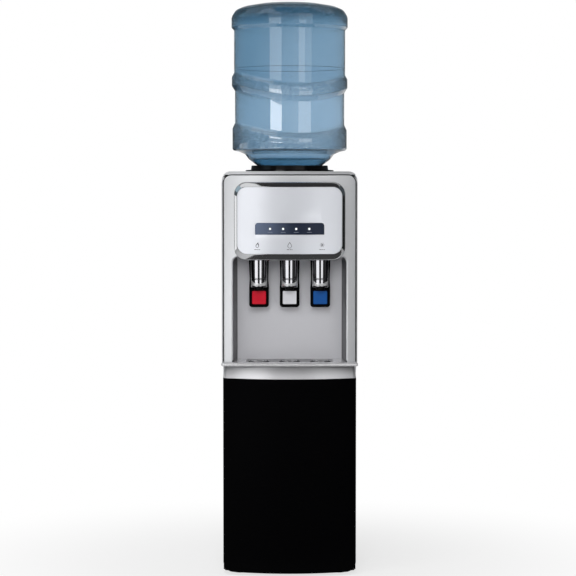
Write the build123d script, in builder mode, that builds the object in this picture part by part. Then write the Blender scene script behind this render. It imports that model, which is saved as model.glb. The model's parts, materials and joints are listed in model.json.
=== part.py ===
from build123d import *
from math import cos, radians, sin, sqrt
import os

os.makedirs("parts", exist_ok=True)

# Top-loading water dispenser with an inverted bottle, in millimetres.
# The origin is on the floor under the middle of the cabinet, +Z is up and the front faces -Y.

# Cabinet
half_width = 155.0
frame_half_width = half_width + 2.5
cabinet_top = 941.0
front_y = -153.0
rear_y = 147.0
bow_radius = 370.0
corner_radius = 12.0
wall = 3.0
sheet = 1.2
fit = 0.3
seam = 0.4
side_front_y = -104.0

# Heights up the front
foot_height = 10.0
pan_height = 28.0
panel_bottom = 8.0
panel_top = 460.6
shelf_bottom = 461.0
shelf_top = 490.5
rim_top = 499.5
bay_top = 744.0
fascia_top = 933.0
skirt_bottom = 918.0

# Cup bay
bay_half_width = half_width - 24.0
bay_back_half_width = bay_half_width - 7.0
bay_depth = 110.0
bay_corner = 14.0
liner_wall = 2.5

# Control pod
pod_half_width = half_width - 26.5
pod_low = 736.5
pod_high = 916.5
pod_corner = 29.0
pod_depth = 21.0
face_half_width = pod_half_width - 7.2
face_low = 751.0
face_high = 905.0
face_corner = 22.0
face_wall = 3.0
bezel_chamfer = 6.0

# Lamp window
window_half_width = 79.5
window_low = 795.7
window_high = 822.7
window_corner = 7.0
lamp_pitch = 30.0
lamp_z = 809.0
lamp_radius = 3.5
board_y = -152.0
board_wall = 1.6

# Taps
tap_pitch = 71.5
tap_y = -106.0
nozzle_radius = 10.5
nozzle_bottom = 665.5
barrel_radius = 13.0
barrel_bottom = 690.0
cap_half_width = 18.5
cap_bottom = 673.0
cap_wall = 1.6
pivot_y = -117.0
pivot_z = 775.0
pin_radius = 1.5
pin_play = 0.05
arm_inner = 18.9
arm_outer = 23.5
lever_bottom = 624.0
paddle_half_width = 23.0
paddle_y = -80.5
paddle_wall = 4.5
badge_width = 32.0
badge_height = 30.5
badge_low = 631.4
badge_wall = 1.4
stem_radius = 2.5
stem_head_radius = 6.0
stem_head = 3.0
spring_radius = 5.0
spring_wire = 1.4
hood_z = 793.0

# Bottle and its seat
bottle_y = -3.0
neck_bottom = 852.0
neck_top = 905.0
neck_radius = 27.5
bottle_wall = 2.0
shoulder_top_z = 969.5
shoulder_slope = 0.75
shoulder_low_radius = 50.0
base_dish = 14.0
base_radius = 137.0
shoulder_top_radius = base_radius - 41.0
body_radius = base_radius - 6.0
band_radius = base_radius - 0.5
waist_radius = base_radius - 8.0
ring_radius = base_radius - 2.0
ring_low = 991.0
ring_height = 47.0
waist_height = 98.0
band_height = 32.0
upper_body_height = 105.0
dome_height = 62.5
ring_high = ring_low + ring_height
band_low = ring_high + waist_height
band_high = band_low + band_height
body_high = band_high + upper_body_height
bottle_top = body_high + dome_height
collar_radius = 90.0
collar_top = 955.0
seat_flange_radius = 104.0
lid_hole_radius = 92.0
seat_tube_radius = 33.0
seat_tube_bottom = 845.0

# Tanks
tank_radius = 64.0
tank_bottom = 775.0
tank_top = 890.0
coil_tube = 8.0
jacket_radius = 82.0
jacket_bottom = 760.0
jacket_top = 884.0
hot_x = 20.0
hot_y = 45.0
hot_radius = 48.0
hot_bottom = 545.0
hot_top = 700.0
hot_jacket_radius = 62.0
hot_jacket_bottom = 530.0
hot_jacket_top = 716.0
hose_radius = 4.0

# Cooling
compressor_y = 45.0
compressor_low = 24.0
compressor_high = 170.0
condenser_tube = 5.0
condenser_wire = 1.5
face_bulge = 0.8
condenser_rear = pod_depth + face_bulge - front_y
condenser_top = 690.0
condenser_pitch = 38.0
condenser_runs = 13
condenser_half_width = half_width - 40.0

# Rear services
switch_x = 60.0 - half_width
switch_z = 806.0
rocker_pitch = 26.0
drain_x = 20.0
drain_z = 185.0
gland_x = 55.0 - half_width
gland_z = 110.0

# Values that follow from the ones above
bow_centre_y = front_y + bow_radius
bay_back_y = front_y + bay_depth
web_outer = half_width - 0.6
web_inner = web_outer - sheet
steel_bottom = foot_height + pan_height + fit
steel_top = skirt_bottom - fit
flange_y = rear_y - sheet
tap_places = {"hot": -tap_pitch, "room": 0.0, "cold": tap_pitch}
far = 300.0


def bow_y(x, proud=0.0):
    """Y of the bowed front at x, with the surface moved forward by proud."""
    return bow_centre_y - sqrt((bow_radius + proud) ** 2 - x**2)


def plan(z, inset=0.0, half=half_width, back=rear_y):
    """Footprint at height z: straight sides and back, bowed front, rounded front corners."""
    reach = half - inset
    side_y = bow_y(reach, -inset)
    with BuildSketch(Plane.XY.offset(z)) as outline:
        with BuildLine():
            ThreePointArc((-reach, side_y), (0, front_y + inset), (reach, side_y))
            Polyline((reach, side_y), (reach, back), (-reach, back), (-reach, side_y))
        make_face()
        fillet(outline.vertices().group_by(Axis.Y)[0], radius=corner_radius - inset)
    return outline.sketch


def behind_bow(z, proud):
    """Footprint at height z of everything behind the bowed front, moved forward by proud."""
    reach = 200.0
    with BuildSketch(Plane.XY.offset(z)) as outline:
        with BuildLine():
            side_y = bow_y(reach, proud)
            ThreePointArc((-reach, side_y), (0, front_y - proud), (reach, side_y))
            Polyline((reach, side_y), (reach, rear_y), (-reach, rear_y), (-reach, side_y))
        make_face()
    return outline.sketch


def upright(half, low, high, top_corner=0.0, bottom_corner=0.0, y=0.0):
    """Front view of a plate at y: a rectangle with its own top and bottom corner radii."""
    with BuildSketch(Plane.XZ.offset(-y)) as outline:
        with Locations((0, (low + high) / 2)):
            Rectangle(2 * half, high - low)
        if top_corner:
            fillet(outline.vertices().group_by(Axis.Y)[-1], radius=top_corner)
        if bottom_corner:
            fillet(outline.vertices().group_by(Axis.Y)[0], radius=bottom_corner)
    return outline.sketch


def slab(x0, x1, y0, y1, z):
    """Rectangle at height z between two corners."""
    with BuildSketch(Plane.XY.offset(z)) as outline:
        with Locations(((x0 + x1) / 2, (y0 + y1) / 2)):
            Rectangle(x1 - x0, y1 - y0)
    return outline.sketch


def tube(points, radius, bend):
    """Round rod or hose along straight runs that are joined by arcs of radius bend."""
    with BuildPart() as run:
        with BuildLine() as route:
            FilletPolyline(*points, radius=bend)
        with BuildSketch(Plane(origin=route.line @ 0, z_dir=route.line % 0)):
            Circle(radius)
        sweep()
    return run.part


def write(piece, name):
    """Label a finished piece and write it out under its own name."""
    piece.label = name
    export_step(piece, f"parts/{name}.step")


# Base pan: the plinth, a floor with an upturned edge, stepped in behind the lower front panel
pan_wall = 2.0
with BuildPart() as base_pan:
    extrude(plan(foot_height, inset=wall + seam), amount=pan_height)
    extrude(slab(-web_outer, web_outer, side_front_y + seam, rear_y, foot_height), amount=pan_height)
    extrude(plan(foot_height + pan_wall, inset=wall + seam + pan_wall), amount=pan_height, mode=Mode.SUBTRACT)
    inner_reach = web_outer - pan_wall
    pan_inside = slab(-inner_reach, inner_reach, side_front_y + seam + pan_wall, rear_y - pan_wall,
                      foot_height + pan_wall)
    extrude(pan_inside, amount=pan_height, mode=Mode.SUBTRACT)
write(base_pan.part, "base_pan")

# Feet: four levelling feet under the pan
foot_radius = 18.0
foot_pitch_x = 2 * half_width - 80.0
foot_pitch_y = 190.0
with BuildPart() as feet:
    with BuildSketch() as foot_soles:
        with Locations((0, (side_front_y + rear_y) / 2 - 5)):
            with GridLocations(foot_pitch_x, foot_pitch_y, 2, 2):
                Circle(foot_radius)
    extrude(amount=foot_height)
    chamfer(feet.edges().group_by(Axis.Z)[0], length=1.5)
write(feet.part, "feet")

# Lower front panel: black bowed shell that wraps round both corners
panel_corner = 23.0
with BuildPart() as lower_front_panel:
    panel_height = panel_top - panel_bottom
    extrude(plan(panel_bottom), amount=panel_height)
    extrude(plan(panel_bottom, inset=wall), amount=panel_height, mode=Mode.SUBTRACT)
    extrude(slab(-far, far, side_front_y - seam, rear_y + wall, panel_bottom), amount=panel_height,
            mode=Mode.SUBTRACT)
    extrude(upright(half_width, panel_bottom, panel_top, bottom_corner=panel_corner), amount=far,
            mode=Mode.INTERSECT)
write(lower_front_panel.part, "lower_front_panel")

# Side panels: folded sheets, with a return behind the front panel and one under the rear panel
front_return = 13.0
rear_return = 16.0
screw_heights = [80.0, 300.0, 560.0, 860.0]
screw_x = web_inner - 8.0
screw_shank = 1.5
with BuildPart() as side_panel_right:
    with BuildSketch(Plane.XY.offset(steel_bottom)):
        with BuildLine():
            Polyline(
                (web_outer, side_front_y),
                (web_outer, flange_y),
                (web_outer - rear_return, flange_y),
                (web_outer - rear_return, flange_y - sheet),
                (web_inner, flange_y - sheet),
                (web_inner, side_front_y + sheet),
                (web_outer - front_return, side_front_y + sheet),
                (web_outer - front_return, side_front_y),
                close=True,
            )
        make_face()
    extrude(amount=steel_top - steel_bottom)
    with Locations(*[Plane.XZ.offset(-flange_y) * Pos(screw_x, z) for z in screw_heights]):
        Hole(radius=screw_shank + fit, depth=2 * sheet)
write(side_panel_right.part, "side_panel_right")

with BuildPart() as side_panel_left:
    mirror(side_panel_right.part, about=Plane.YZ)
write(side_panel_left.part, "side_panel_left")

# Rear panel: flat sheet with louvre slots and service openings
condenser_y = condenser_rear - condenser_wire - condenser_tube / 2 - pin_play
lead_x = condenser_half_width + 13.0
condenser_bottom = condenser_top - (condenser_runs - 1) * condenser_pitch
frame_width = 58.0
frame_height = 30.0
spout_radius = 8.0
gland_radius = 6.5
vent_heights = [868.0, 100.0]
line_radius = 3.0
with BuildPart() as rear_panel:
    extrude(upright(web_outer, steel_bottom, steel_top, y=rear_y), amount=sheet)
    with BuildSketch(Plane.XZ.offset(-rear_y)):
        with Locations(*[(0, z) for z in vent_heights]):
            with GridLocations(22, 14, 8, 4):
                SlotOverall(17, 4.5)
        with Locations((switch_x, switch_z)):
            Rectangle(frame_width - 8, frame_height - 4)
        with Locations((drain_x, drain_z)):
            Circle(spout_radius + fit)
        with Locations((gland_x, gland_z)):
            Circle(gland_radius + pin_play)
        with Locations((lead_x, condenser_top), (-lead_x, condenser_bottom)):
            Circle(line_radius + 1.0)
        for z in screw_heights:
            with Locations((-screw_x, z), (screw_x, z)):
                Circle(screw_shank + fit)
    extrude(amount=sheet, mode=Mode.SUBTRACT)
write(rear_panel.part, "rear_panel")

# Rear panel screws: pan heads on the outside, shanks through panel and side returns
screw_head = 2.2
screw_places = [(x, z) for x in (-screw_x, screw_x) for z in screw_heights]
with BuildPart() as panel_screws:
    with BuildSketch(Plane.XZ.offset(-rear_y)):
        with Locations(*screw_places):
            Circle(4.0)
    extrude(amount=-screw_head)
    chamfer(panel_screws.edges().group_by(Axis.Y)[-1], length=0.8)
    with BuildSketch(Plane.XZ.offset(-rear_y)):
        with Locations(*screw_places):
            Circle(screw_shank)
    extrude(amount=8.0)
    with BuildSketch(Plane.XZ.offset(-rear_y - screw_head)):
        with Locations(*screw_places):
            Rectangle(4.4, 0.9)
            Rectangle(0.9, 4.4)
    extrude(amount=1.0, mode=Mode.SUBTRACT)
write(panel_screws.part, "panel_screws")

# Top cover: lid with rounded side edges, a sloped rim and the opening for the bottle seat
lid_corner = 21.0
lid_slab_bottom = cabinet_top - 7.0
lid_slope = 38.0
fascia_back_y = side_front_y + 8.0
with BuildPart() as lid_hollow:
    extrude(plan(skirt_bottom - 1, inset=wall, half=frame_half_width, back=rear_y - wall),
            amount=cabinet_top - wall - skirt_bottom + 1)
    extrude(upright(frame_half_width - wall, bay_top, cabinet_top - wall, top_corner=lid_corner - wall),
            amount=far, both=True, mode=Mode.INTERSECT)
with BuildPart() as top_cover:
    extrude(plan(skirt_bottom, half=frame_half_width), amount=lid_slab_bottom - skirt_bottom)
    extrude(plan(lid_slab_bottom, half=frame_half_width), amount=cabinet_top - lid_slab_bottom,
            taper=lid_slope)
    extrude(upright(frame_half_width, bay_top, cabinet_top, top_corner=lid_corner), amount=far, both=True,
            mode=Mode.INTERSECT)
    add(lid_hollow.part, mode=Mode.SUBTRACT)
    extrude(slab(-far, far, -far, fascia_back_y + seam, skirt_bottom), mode=Mode.SUBTRACT,
            amount=fascia_top + fit - skirt_bottom)
    with Locations((0, bottle_y, cabinet_top)):
        Hole(radius=lid_hole_radius)
write(top_cover.part, "top_cover")

# Front fascia: silver frame with the bay opening and a window behind the control pod
fascia_bottom = shelf_top + seam
fascia_gap = 1.6
window_frame_half = pod_half_width - 16.5
window_frame_high = 893.0
groove_x = frame_half_width - 3.4
groove_half = 1.1
groove_depth = 3.2
surround_width = 9.0
surround_depth = 5.0
surround_round = 3.4
opening_step_z = rim_top + 3.0
opening_half_width = bay_half_width + liner_wall + fit
fascia_height = fascia_top - fascia_gap - fascia_bottom
with BuildPart() as bay_surround:
    surround_height = bay_top + surround_width - fascia_bottom
    extrude(behind_bow(fascia_bottom, 0.0), amount=surround_height)
    extrude(behind_bow(fascia_bottom, -surround_depth), amount=surround_height, mode=Mode.SUBTRACT)
    extrude(upright(bay_half_width + surround_width, fascia_bottom, bay_top + surround_width,
                    top_corner=bay_corner + surround_width), amount=far, mode=Mode.INTERSECT)
with BuildPart() as front_fascia:
    extrude(plan(fascia_bottom, half=frame_half_width), amount=fascia_height)
    extrude(plan(fascia_bottom, inset=wall, half=frame_half_width), amount=fascia_height, mode=Mode.SUBTRACT)
    extrude(slab(-far, far, fascia_back_y, rear_y + wall, fascia_bottom), amount=fascia_height,
            mode=Mode.SUBTRACT)
    extrude(upright(frame_half_width, fascia_bottom - 30, fascia_top - fascia_gap, top_corner=lid_corner - 2),
            amount=far, mode=Mode.INTERSECT)
    add(bay_surround.part)
    extrude(upright(bay_half_width, fascia_bottom - 30, bay_top, top_corner=bay_corner), amount=far,
            mode=Mode.SUBTRACT)
    front_edges = [
        edge for edge in front_fascia.edges(Select.LAST)
        if all(abs(bow_y(end.X) - end.Y) < 0.01 for end in (edge @ 0, edge @ 1))
        and edge.center().Z > fascia_bottom + 1
    ]
    fillet(front_edges, radius=surround_round)
    extrude(upright(opening_half_width, fascia_bottom - 30, opening_step_z), amount=far, mode=Mode.SUBTRACT)
    extrude(upright(window_frame_half, bay_top, window_frame_high, top_corner=corner_radius), amount=far,
            mode=Mode.SUBTRACT)
    for side in (-1, 1):
        groove = slab(side * groove_x - groove_half, side * groove_x + groove_half, -far,
                      bow_y(groove_x) + groove_depth, fascia_bottom)
        extrude(groove, amount=fascia_height, mode=Mode.SUBTRACT)
write(front_fascia.part, "front_fascia")

# Bay liner: drafted pocket behind the opening, with holes for the taps in its ceiling
liner_bottom = shelf_top + seam
bay_draft = (bay_half_width - bay_back_half_width) / (bay_back_y - bow_y(bay_half_width))
liner_front_y = front_y - 8.0
ceiling_z = bay_top + liner_wall
arm_slot_inner = arm_inner - 0.5
arm_slot_outer = arm_outer + 0.6
arm_slot_front = tap_y - 9.0
arm_slot_back = tap_y + 14.0


def bay_half(y):
    """Half the width of the bay at depth y: the side walls close in towards the back."""
    return bay_back_half_width + (bay_back_y - y) * bay_draft


with BuildPart() as bay_hollow:
    hollow_front = upright(bay_half(liner_front_y - 1), liner_bottom - 1, bay_top, bay_corner,
                           y=liner_front_y - 1)
    hollow_back = upright(bay_half(bay_back_y), liner_bottom - 1, bay_top, bay_corner, y=bay_back_y)
    loft([hollow_front.face(), hollow_back.face()])
with BuildPart() as bay_liner:
    back = bay_back_y + liner_wall
    outer_front = upright(bay_half(liner_front_y) + liner_wall, liner_bottom, ceiling_z,
                          bay_corner + liner_wall, y=liner_front_y)
    outer_back = upright(bay_half(back) + liner_wall, liner_bottom, ceiling_z,
                         bay_corner + liner_wall, y=back)
    loft([outer_front.face(), outer_back.face()])
    add(bay_hollow.part, mode=Mode.SUBTRACT)
    extrude(behind_bow(liner_bottom, -surround_depth - fit), amount=ceiling_z - liner_bottom,
            mode=Mode.INTERSECT)
    for tap_x in tap_places.values():
        with BuildSketch(Plane.XY.offset(bay_top - 1)):
            with Locations((tap_x, tap_y)):
                Circle(barrel_radius + fit)
        extrude(amount=liner_wall + 2, mode=Mode.SUBTRACT)
        for side in (-1, 1):
            ends = sorted((tap_x + side * arm_slot_inner, tap_x + side * arm_slot_outer))
            extrude(slab(*ends, arm_slot_front, arm_slot_back, bay_top - 1), amount=liner_wall + 2,
                    mode=Mode.SUBTRACT)
write(bay_liner.part, "bay_liner")

# Tray shelf: silver band across the front, narrower towards its top, with the well for the drip tray
shelf_lean = 10.0
well_half_width = half_width - 56.0
well_front_y = -130.0
well_back_y = -50.0
shelf_height = shelf_top - shelf_bottom
with BuildPart() as tray_shelf:
    extrude(plan(shelf_bottom), amount=shelf_height, taper=shelf_lean)
    extrude(plan(shelf_bottom, inset=wall), amount=shelf_height - wall, taper=shelf_lean, mode=Mode.SUBTRACT)
    extrude(slab(-far, far, bay_back_y + liner_wall, rear_y + wall, shelf_bottom), amount=shelf_height,
            mode=Mode.SUBTRACT)
    extrude(slab(-well_half_width, well_half_width, well_front_y, well_back_y, shelf_bottom),
            amount=shelf_height, mode=Mode.SUBTRACT)
    shelf_end = web_outer - front_return - fit
    extrude(slab(shelf_end, far, side_front_y - seam, rear_y, shelf_bottom), amount=shelf_height,
            mode=Mode.SUBTRACT)
    extrude(slab(-far, -shelf_end, side_front_y - seam, rear_y, shelf_bottom), amount=shelf_height,
            mode=Mode.SUBTRACT)
write(tray_shelf.part, "tray_shelf")

# Drip tray: basin in the well under a frame that fills the bay, with a straighter front rim and two ears
rim_front_y = front_y - 5.0
rim_half_width = frame_half_width + 0.5
rim_bow = 1600.0
rim_corner = 6.0
rim_gap = 1.5
rim_round = 4.5
rim_under_round = 2.5
rim_bottom = shelf_top + seam
rim_height = rim_top - rim_bottom
tray_play = 1.0
tray_wall = 2.0
basin_depth = 23.5
tray_back_y = bay_back_y - tray_play
rim_inner_y = front_y + 10.0
well_x = well_half_width - tray_play
well_y0 = well_front_y + tray_play
well_y1 = well_back_y - tray_play
ledge = 3.0
grille_wall = 2.5
deck_bottom = rim_top - grille_wall - 0.5


def rim_outline(z, half, corner):
    """Footprint of the tray's front rim at height z, bowed less than the cabinet."""
    end_y = rim_front_y + half**2 / (2 * rim_bow)
    with BuildSketch(Plane.XY.offset(z)) as outline:
        with BuildLine():
            ThreePointArc((-half, end_y), (0, rim_front_y), (half, end_y))
            Polyline((half, end_y), (half, side_front_y - 2), (-half, side_front_y - 2), (-half, end_y))
        make_face()
        if corner:
            fillet(outline.vertices().group_by(Axis.Y)[0], radius=corner)
    return outline.sketch


def bay_floor(z, margin):
    """Footprint at height z of the floor of the bay, inside its side walls by margin."""
    front = bay_half(rim_inner_y) - margin
    rear = bay_half(tray_back_y) - margin
    with BuildSketch(Plane.XY.offset(z)) as outline:
        with BuildLine():
            Polyline((-front, rim_inner_y), (front, rim_inner_y), (rear, tray_back_y), (-rear, tray_back_y),
                     close=True)
        make_face()
    return outline.sketch


with BuildPart() as rim_middle:
    extrude(rim_outline(rim_bottom, bay_half(rim_inner_y) - tray_play, 0), amount=rim_height)
    extrude(slab(-far, far, rim_inner_y + 1, 0, rim_bottom), amount=rim_height, mode=Mode.SUBTRACT)
with BuildPart() as drip_tray:
    extrude(rim_outline(rim_bottom, rim_half_width, rim_corner), amount=rim_height)
    extrude(behind_bow(rim_bottom, rim_gap), amount=rim_height, mode=Mode.SUBTRACT)
    add(rim_middle.part)
    extrude(bay_floor(rim_bottom, tray_play), amount=rim_height)
    extrude(slab(-well_x, well_x, well_y0, well_y1, rim_bottom - basin_depth), amount=basin_depth)
    extrude(slab(-well_x + tray_wall, well_x - tray_wall, well_y0 + tray_wall, well_y1 - tray_wall,
                 rim_bottom - basin_depth + tray_wall), amount=basin_depth + rim_height, mode=Mode.SUBTRACT)
    extrude(slab(-well_x - ledge, well_x + ledge, well_y0 - ledge, well_y1 + ledge, deck_bottom),
            amount=rim_height, mode=Mode.SUBTRACT)
    rim_edges = drip_tray.faces().sort_by(Axis.Z)[-1].outer_wire().edges().sort_by(Axis.Y)[0:3]
    fillet(rim_edges, radius=rim_round)
    under_faces = [face for face in drip_tray.faces() if abs(face.center().Z - rim_bottom) < 0.01]
    under_edges = under_faces[0].edges()
    for face in under_faces[1:]:
        under_edges += face.edges()
    fillet(under_edges.sort_by(Axis.Y)[0:3], radius=rim_under_round)
write(drip_tray.part, "drip_tray")

# Drip grille: flat deck with rings of slots under each tap, and low ribs between them that hold a cup up
ring_radii = [20.0, 14.0, 8.0]
slot_width = 3.0
bridge_width = 2.6
grille_ledge = ledge - fit
rib_width = 1.8
rib_height = 2.4
with BuildPart() as drip_grille:
    extrude(slab(-well_x - grille_ledge, well_x + grille_ledge, well_y0 - grille_ledge,
                 well_y1 + grille_ledge, deck_bottom), amount=grille_wall)
    with BuildSketch(Plane.XY.offset(deck_bottom)):
        for tap_x in tap_places.values():
            with Locations((tap_x, tap_y)):
                for ring in ring_radii:
                    Circle(ring + slot_width / 2)
                    Circle(ring - slot_width / 2, mode=Mode.SUBTRACT)
                for turn in (0, 60, 120):
                    Rectangle(bridge_width, 3 * max(ring_radii), rotation=turn, mode=Mode.SUBTRACT)
    extrude(amount=grille_wall, mode=Mode.SUBTRACT)
    with BuildSketch(Plane.XY.offset(deck_bottom + grille_wall)):
        for tap_x in tap_places.values():
            with Locations((tap_x, tap_y)):
                for ring in ring_radii:
                    rib_radius = ring + slot_width
                    Circle(rib_radius + rib_width / 2)
                    Circle(rib_radius - rib_width / 2, mode=Mode.SUBTRACT)
    extrude(amount=rib_height)
write(drip_grille.part, "drip_grille")

# Control pod: bezel that stands on the fascia
pod_base = 0.05
with BuildPart() as pod_bezel:
    pod_rise = pod_high - pod_low
    extrude(behind_bow(pod_low, pod_depth), amount=pod_rise)
    extrude(upright(pod_half_width, pod_low, pod_high, pod_corner, pod_corner), amount=far,
            mode=Mode.INTERSECT)
    front_face = pod_bezel.faces().sort_by(Axis.Y)[0]
    chamfer(front_face.edges(), length=bezel_chamfer)
    extrude(behind_bow(pod_low, pod_base), amount=pod_rise, mode=Mode.SUBTRACT)
    extrude(upright(face_half_width, face_low, face_high, face_corner, face_corner), amount=far,
            mode=Mode.SUBTRACT)
write(pod_bezel.part, "pod_bezel")

# Pod face: bowed plate with the pocket of the lamp window and four posts for the board behind it
face_gap = 0.15
face_proud = pod_depth + face_bulge
post_x = 72.0
post_z = 26.0
with BuildPart() as pod_face:
    face_rise = face_high - face_low
    extrude(behind_bow(face_low, face_proud), amount=face_rise)
    extrude(behind_bow(face_low, face_proud - face_wall), amount=face_rise, mode=Mode.SUBTRACT)
    extrude(upright(face_half_width - face_gap, face_low + face_gap, face_high - face_gap, face_corner,
                    face_corner), amount=far, mode=Mode.INTERSECT)
    extrude(upright(window_half_width, window_low, window_high, window_corner, 0.5), amount=far,
            mode=Mode.SUBTRACT)
    with BuildSketch(Plane.XZ.offset(-board_y)):
        with Locations((0, lamp_z)):
            with GridLocations(2 * post_x, 2 * post_z, 2, 2):
                Circle(3.0)
    extrude(until=Until.NEXT)
write(pod_face.part, "pod_face")

# Lamp window: dark strip that fills the pocket, with a hole for each lamp
window_gap = 0.1
window_proud = face_proud - 0.3
lamp_places = [(step - 1.5) * lamp_pitch for step in range(4)]
with BuildPart() as indicator_window:
    window_rise = window_high - window_low
    extrude(behind_bow(window_low, window_proud), amount=window_rise)
    extrude(behind_bow(window_low, window_proud - face_wall), amount=window_rise, mode=Mode.SUBTRACT)
    extrude(upright(window_half_width - window_gap, window_low + window_gap, window_high - window_gap,
                    window_corner, 0.5), amount=far, mode=Mode.INTERSECT)
    with BuildSketch(Plane.XZ):
        with Locations(*[(x, lamp_z) for x in lamp_places]):
            Circle(lamp_radius + pin_play)
    extrude(amount=far, mode=Mode.SUBTRACT)
write(indicator_window.part, "indicator_window")

# Lamp lenses: four light guides from the board to the window's surface
lens_back_y = board_y - 1.2
with BuildPart() as indicator_lenses:
    with BuildSketch(Plane.XZ.offset(-lens_back_y)):
        with Locations(*[(x, lamp_z) for x in lamp_places]):
            Circle(lamp_radius)
    extrude(amount=60)
    extrude(behind_bow(lamp_z - 20, window_proud + 0.2), amount=40, mode=Mode.INTERSECT)
write(indicator_lenses.part, "indicator_lenses")

# Board: flat board on the posts, with a lamp behind each lens and a connector
board_height = 2 * post_z + 10
with BuildPart() as indicator_board:
    with BuildSketch(Plane.XZ.offset(-board_y - board_wall)):
        with Locations((0, lamp_z)):
            Rectangle(2 * post_x + 12, board_height)
    extrude(amount=board_wall)
    with BuildSketch(Plane.XZ.offset(-board_y)):
        with Locations(*[(x, lamp_z) for x in lamp_places]):
            Rectangle(4, 4)
    extrude(amount=1.0)
    with BuildSketch(Plane.XZ.offset(-board_y - board_wall)):
        with Locations((40, lamp_z - 12)):
            Rectangle(16, 8)
    extrude(amount=-6.0)
write(indicator_board.part, "indicator_board")

# Taps: the same six pieces three times over
flange_radius = 17.0
flange_wall = 2.4
spigot_z = ceiling_z + flange_wall + hose_radius + 0.6
spigot_back_y = tap_y + 22.0
bore_radius = 9.0
seat_z = 700.0
head_z = 762.0
head_wall = 6.0
ear_inner = 12.0
ear_outer = 16.0
tine_radius = 2.0
tine_gap = 0.9
head_bottom = pivot_z + tine_radius + fit
spring_bottom = head_bottom + stem_head
pin_half_length = 23.0
ear_rise = 6.0
hood_wall = 3.0
hood_half = 6.0
seat_bore_radius = 6.5
paddle_corner = 7.0
waist = 1.8


def tap_body(x):
    """Valve body: nozzle, barrel, ears for the lever's pin and the hood that holds the spring."""
    with BuildPart() as body:
        with BuildSketch(Plane.XY.offset(nozzle_bottom)):
            with Locations((x, tap_y)):
                Circle(nozzle_radius)
        extrude(amount=barrel_bottom - nozzle_bottom + 1)
        chamfer(body.edges().group_by(Axis.Z)[0], length=1.5)
        with BuildSketch(Plane.XY.offset(barrel_bottom)):
            with Locations((x, tap_y)):
                Circle(barrel_radius)
        extrude(amount=head_z - barrel_bottom)
        with BuildSketch(Plane.XY.offset(ceiling_z)):
            with Locations((x, tap_y)):
                Circle(flange_radius)
        extrude(amount=flange_wall)
        head_front = pivot_y - 5.0
        ear_back = pivot_y + 5.0
        head_back = tap_y + barrel_radius + 2.0
        extrude(slab(x - ear_outer, x + ear_outer, head_front, head_back, head_z), amount=head_wall)
        extrude(slab(x - ear_outer, x + ear_outer, head_front, ear_back, head_z),
                amount=pivot_z + ear_rise - head_z)
        extrude(slab(x - ear_inner, x + ear_inner, head_front, ear_back, head_z + head_wall),
                amount=pivot_z - head_z, mode=Mode.SUBTRACT)
        extrude(slab(x - hood_half, x + hood_half, head_back - 4.0, head_back, head_z),
                amount=hood_z + hood_wall - head_z)
        extrude(slab(x - hood_half, x + hood_half, tap_y - hood_half, head_back, hood_z), amount=hood_wall)
        with BuildSketch(Plane.XY.offset(hood_z)):
            with Locations((x, tap_y)):
                Circle(spring_radius - spring_wire - 0.4)
        extrude(amount=-7.0)
        with BuildSketch(Plane.XZ.offset(-tap_y)):
            with Locations((x, spigot_z)):
                Circle(hose_radius)
        extrude(amount=-(spigot_back_y - tap_y))
        with BuildSketch(Plane.YZ.offset(x)):
            with Locations((pivot_y, pivot_z)):
                Circle(pin_radius + pin_play)
        extrude(amount=ear_outer + 1, both=True, mode=Mode.SUBTRACT)
        with BuildSketch(Plane.XY.offset(nozzle_bottom)):
            with Locations((x, tap_y)):
                Circle(seat_bore_radius)
        extrude(amount=seat_z - nozzle_bottom + 1, mode=Mode.SUBTRACT)
        with BuildSketch(Plane.XY.offset(seat_z)):
            with Locations((x, tap_y)):
                Circle(bore_radius)
        extrude(amount=head_z - 4 - seat_z, mode=Mode.SUBTRACT)
        with BuildSketch(Plane.XY.offset(seat_z)):
            with Locations((x, tap_y)):
                Circle(stem_radius + fit)
        extrude(amount=head_z + head_wall - seat_z, mode=Mode.SUBTRACT)
        with BuildSketch(Plane.XZ.offset(-tap_y)):
            with Locations((x, spigot_z)):
                Circle(hose_radius - 1.5)
        extrude(amount=-(spigot_back_y - tap_y), mode=Mode.SUBTRACT)
    return body.part


def cap_outline(x, inset):
    """Outline of the tap's cover at the ceiling: round in front, flat at the back."""
    half = cap_half_width - inset
    back = tap_y + barrel_radius + cap_wall + 2.0 - inset
    with BuildSketch(Plane.XY.offset(bay_top)) as outline:
        with BuildLine():
            ThreePointArc((x - half, tap_y), (x, tap_y - half), (x + half, tap_y))
            Polyline((x + half, tap_y), (x + half, back), (x - half, back), (x - half, tap_y))
        make_face()
        fillet(outline.vertices().group_by(Axis.Y)[-1], radius=4.0)
    return outline.sketch


def tap_cap(x):
    """Bright cover round the barrel, open below, slightly narrower at its lower lip."""
    with BuildPart() as cap:
        extrude(cap_outline(x, 0.0), amount=-(bay_top - cap_bottom), taper=1.0)
        extrude(cap_outline(x, cap_wall), amount=-(bay_top - cap_bottom), taper=1.0, mode=Mode.SUBTRACT)
    return cap.part


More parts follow.
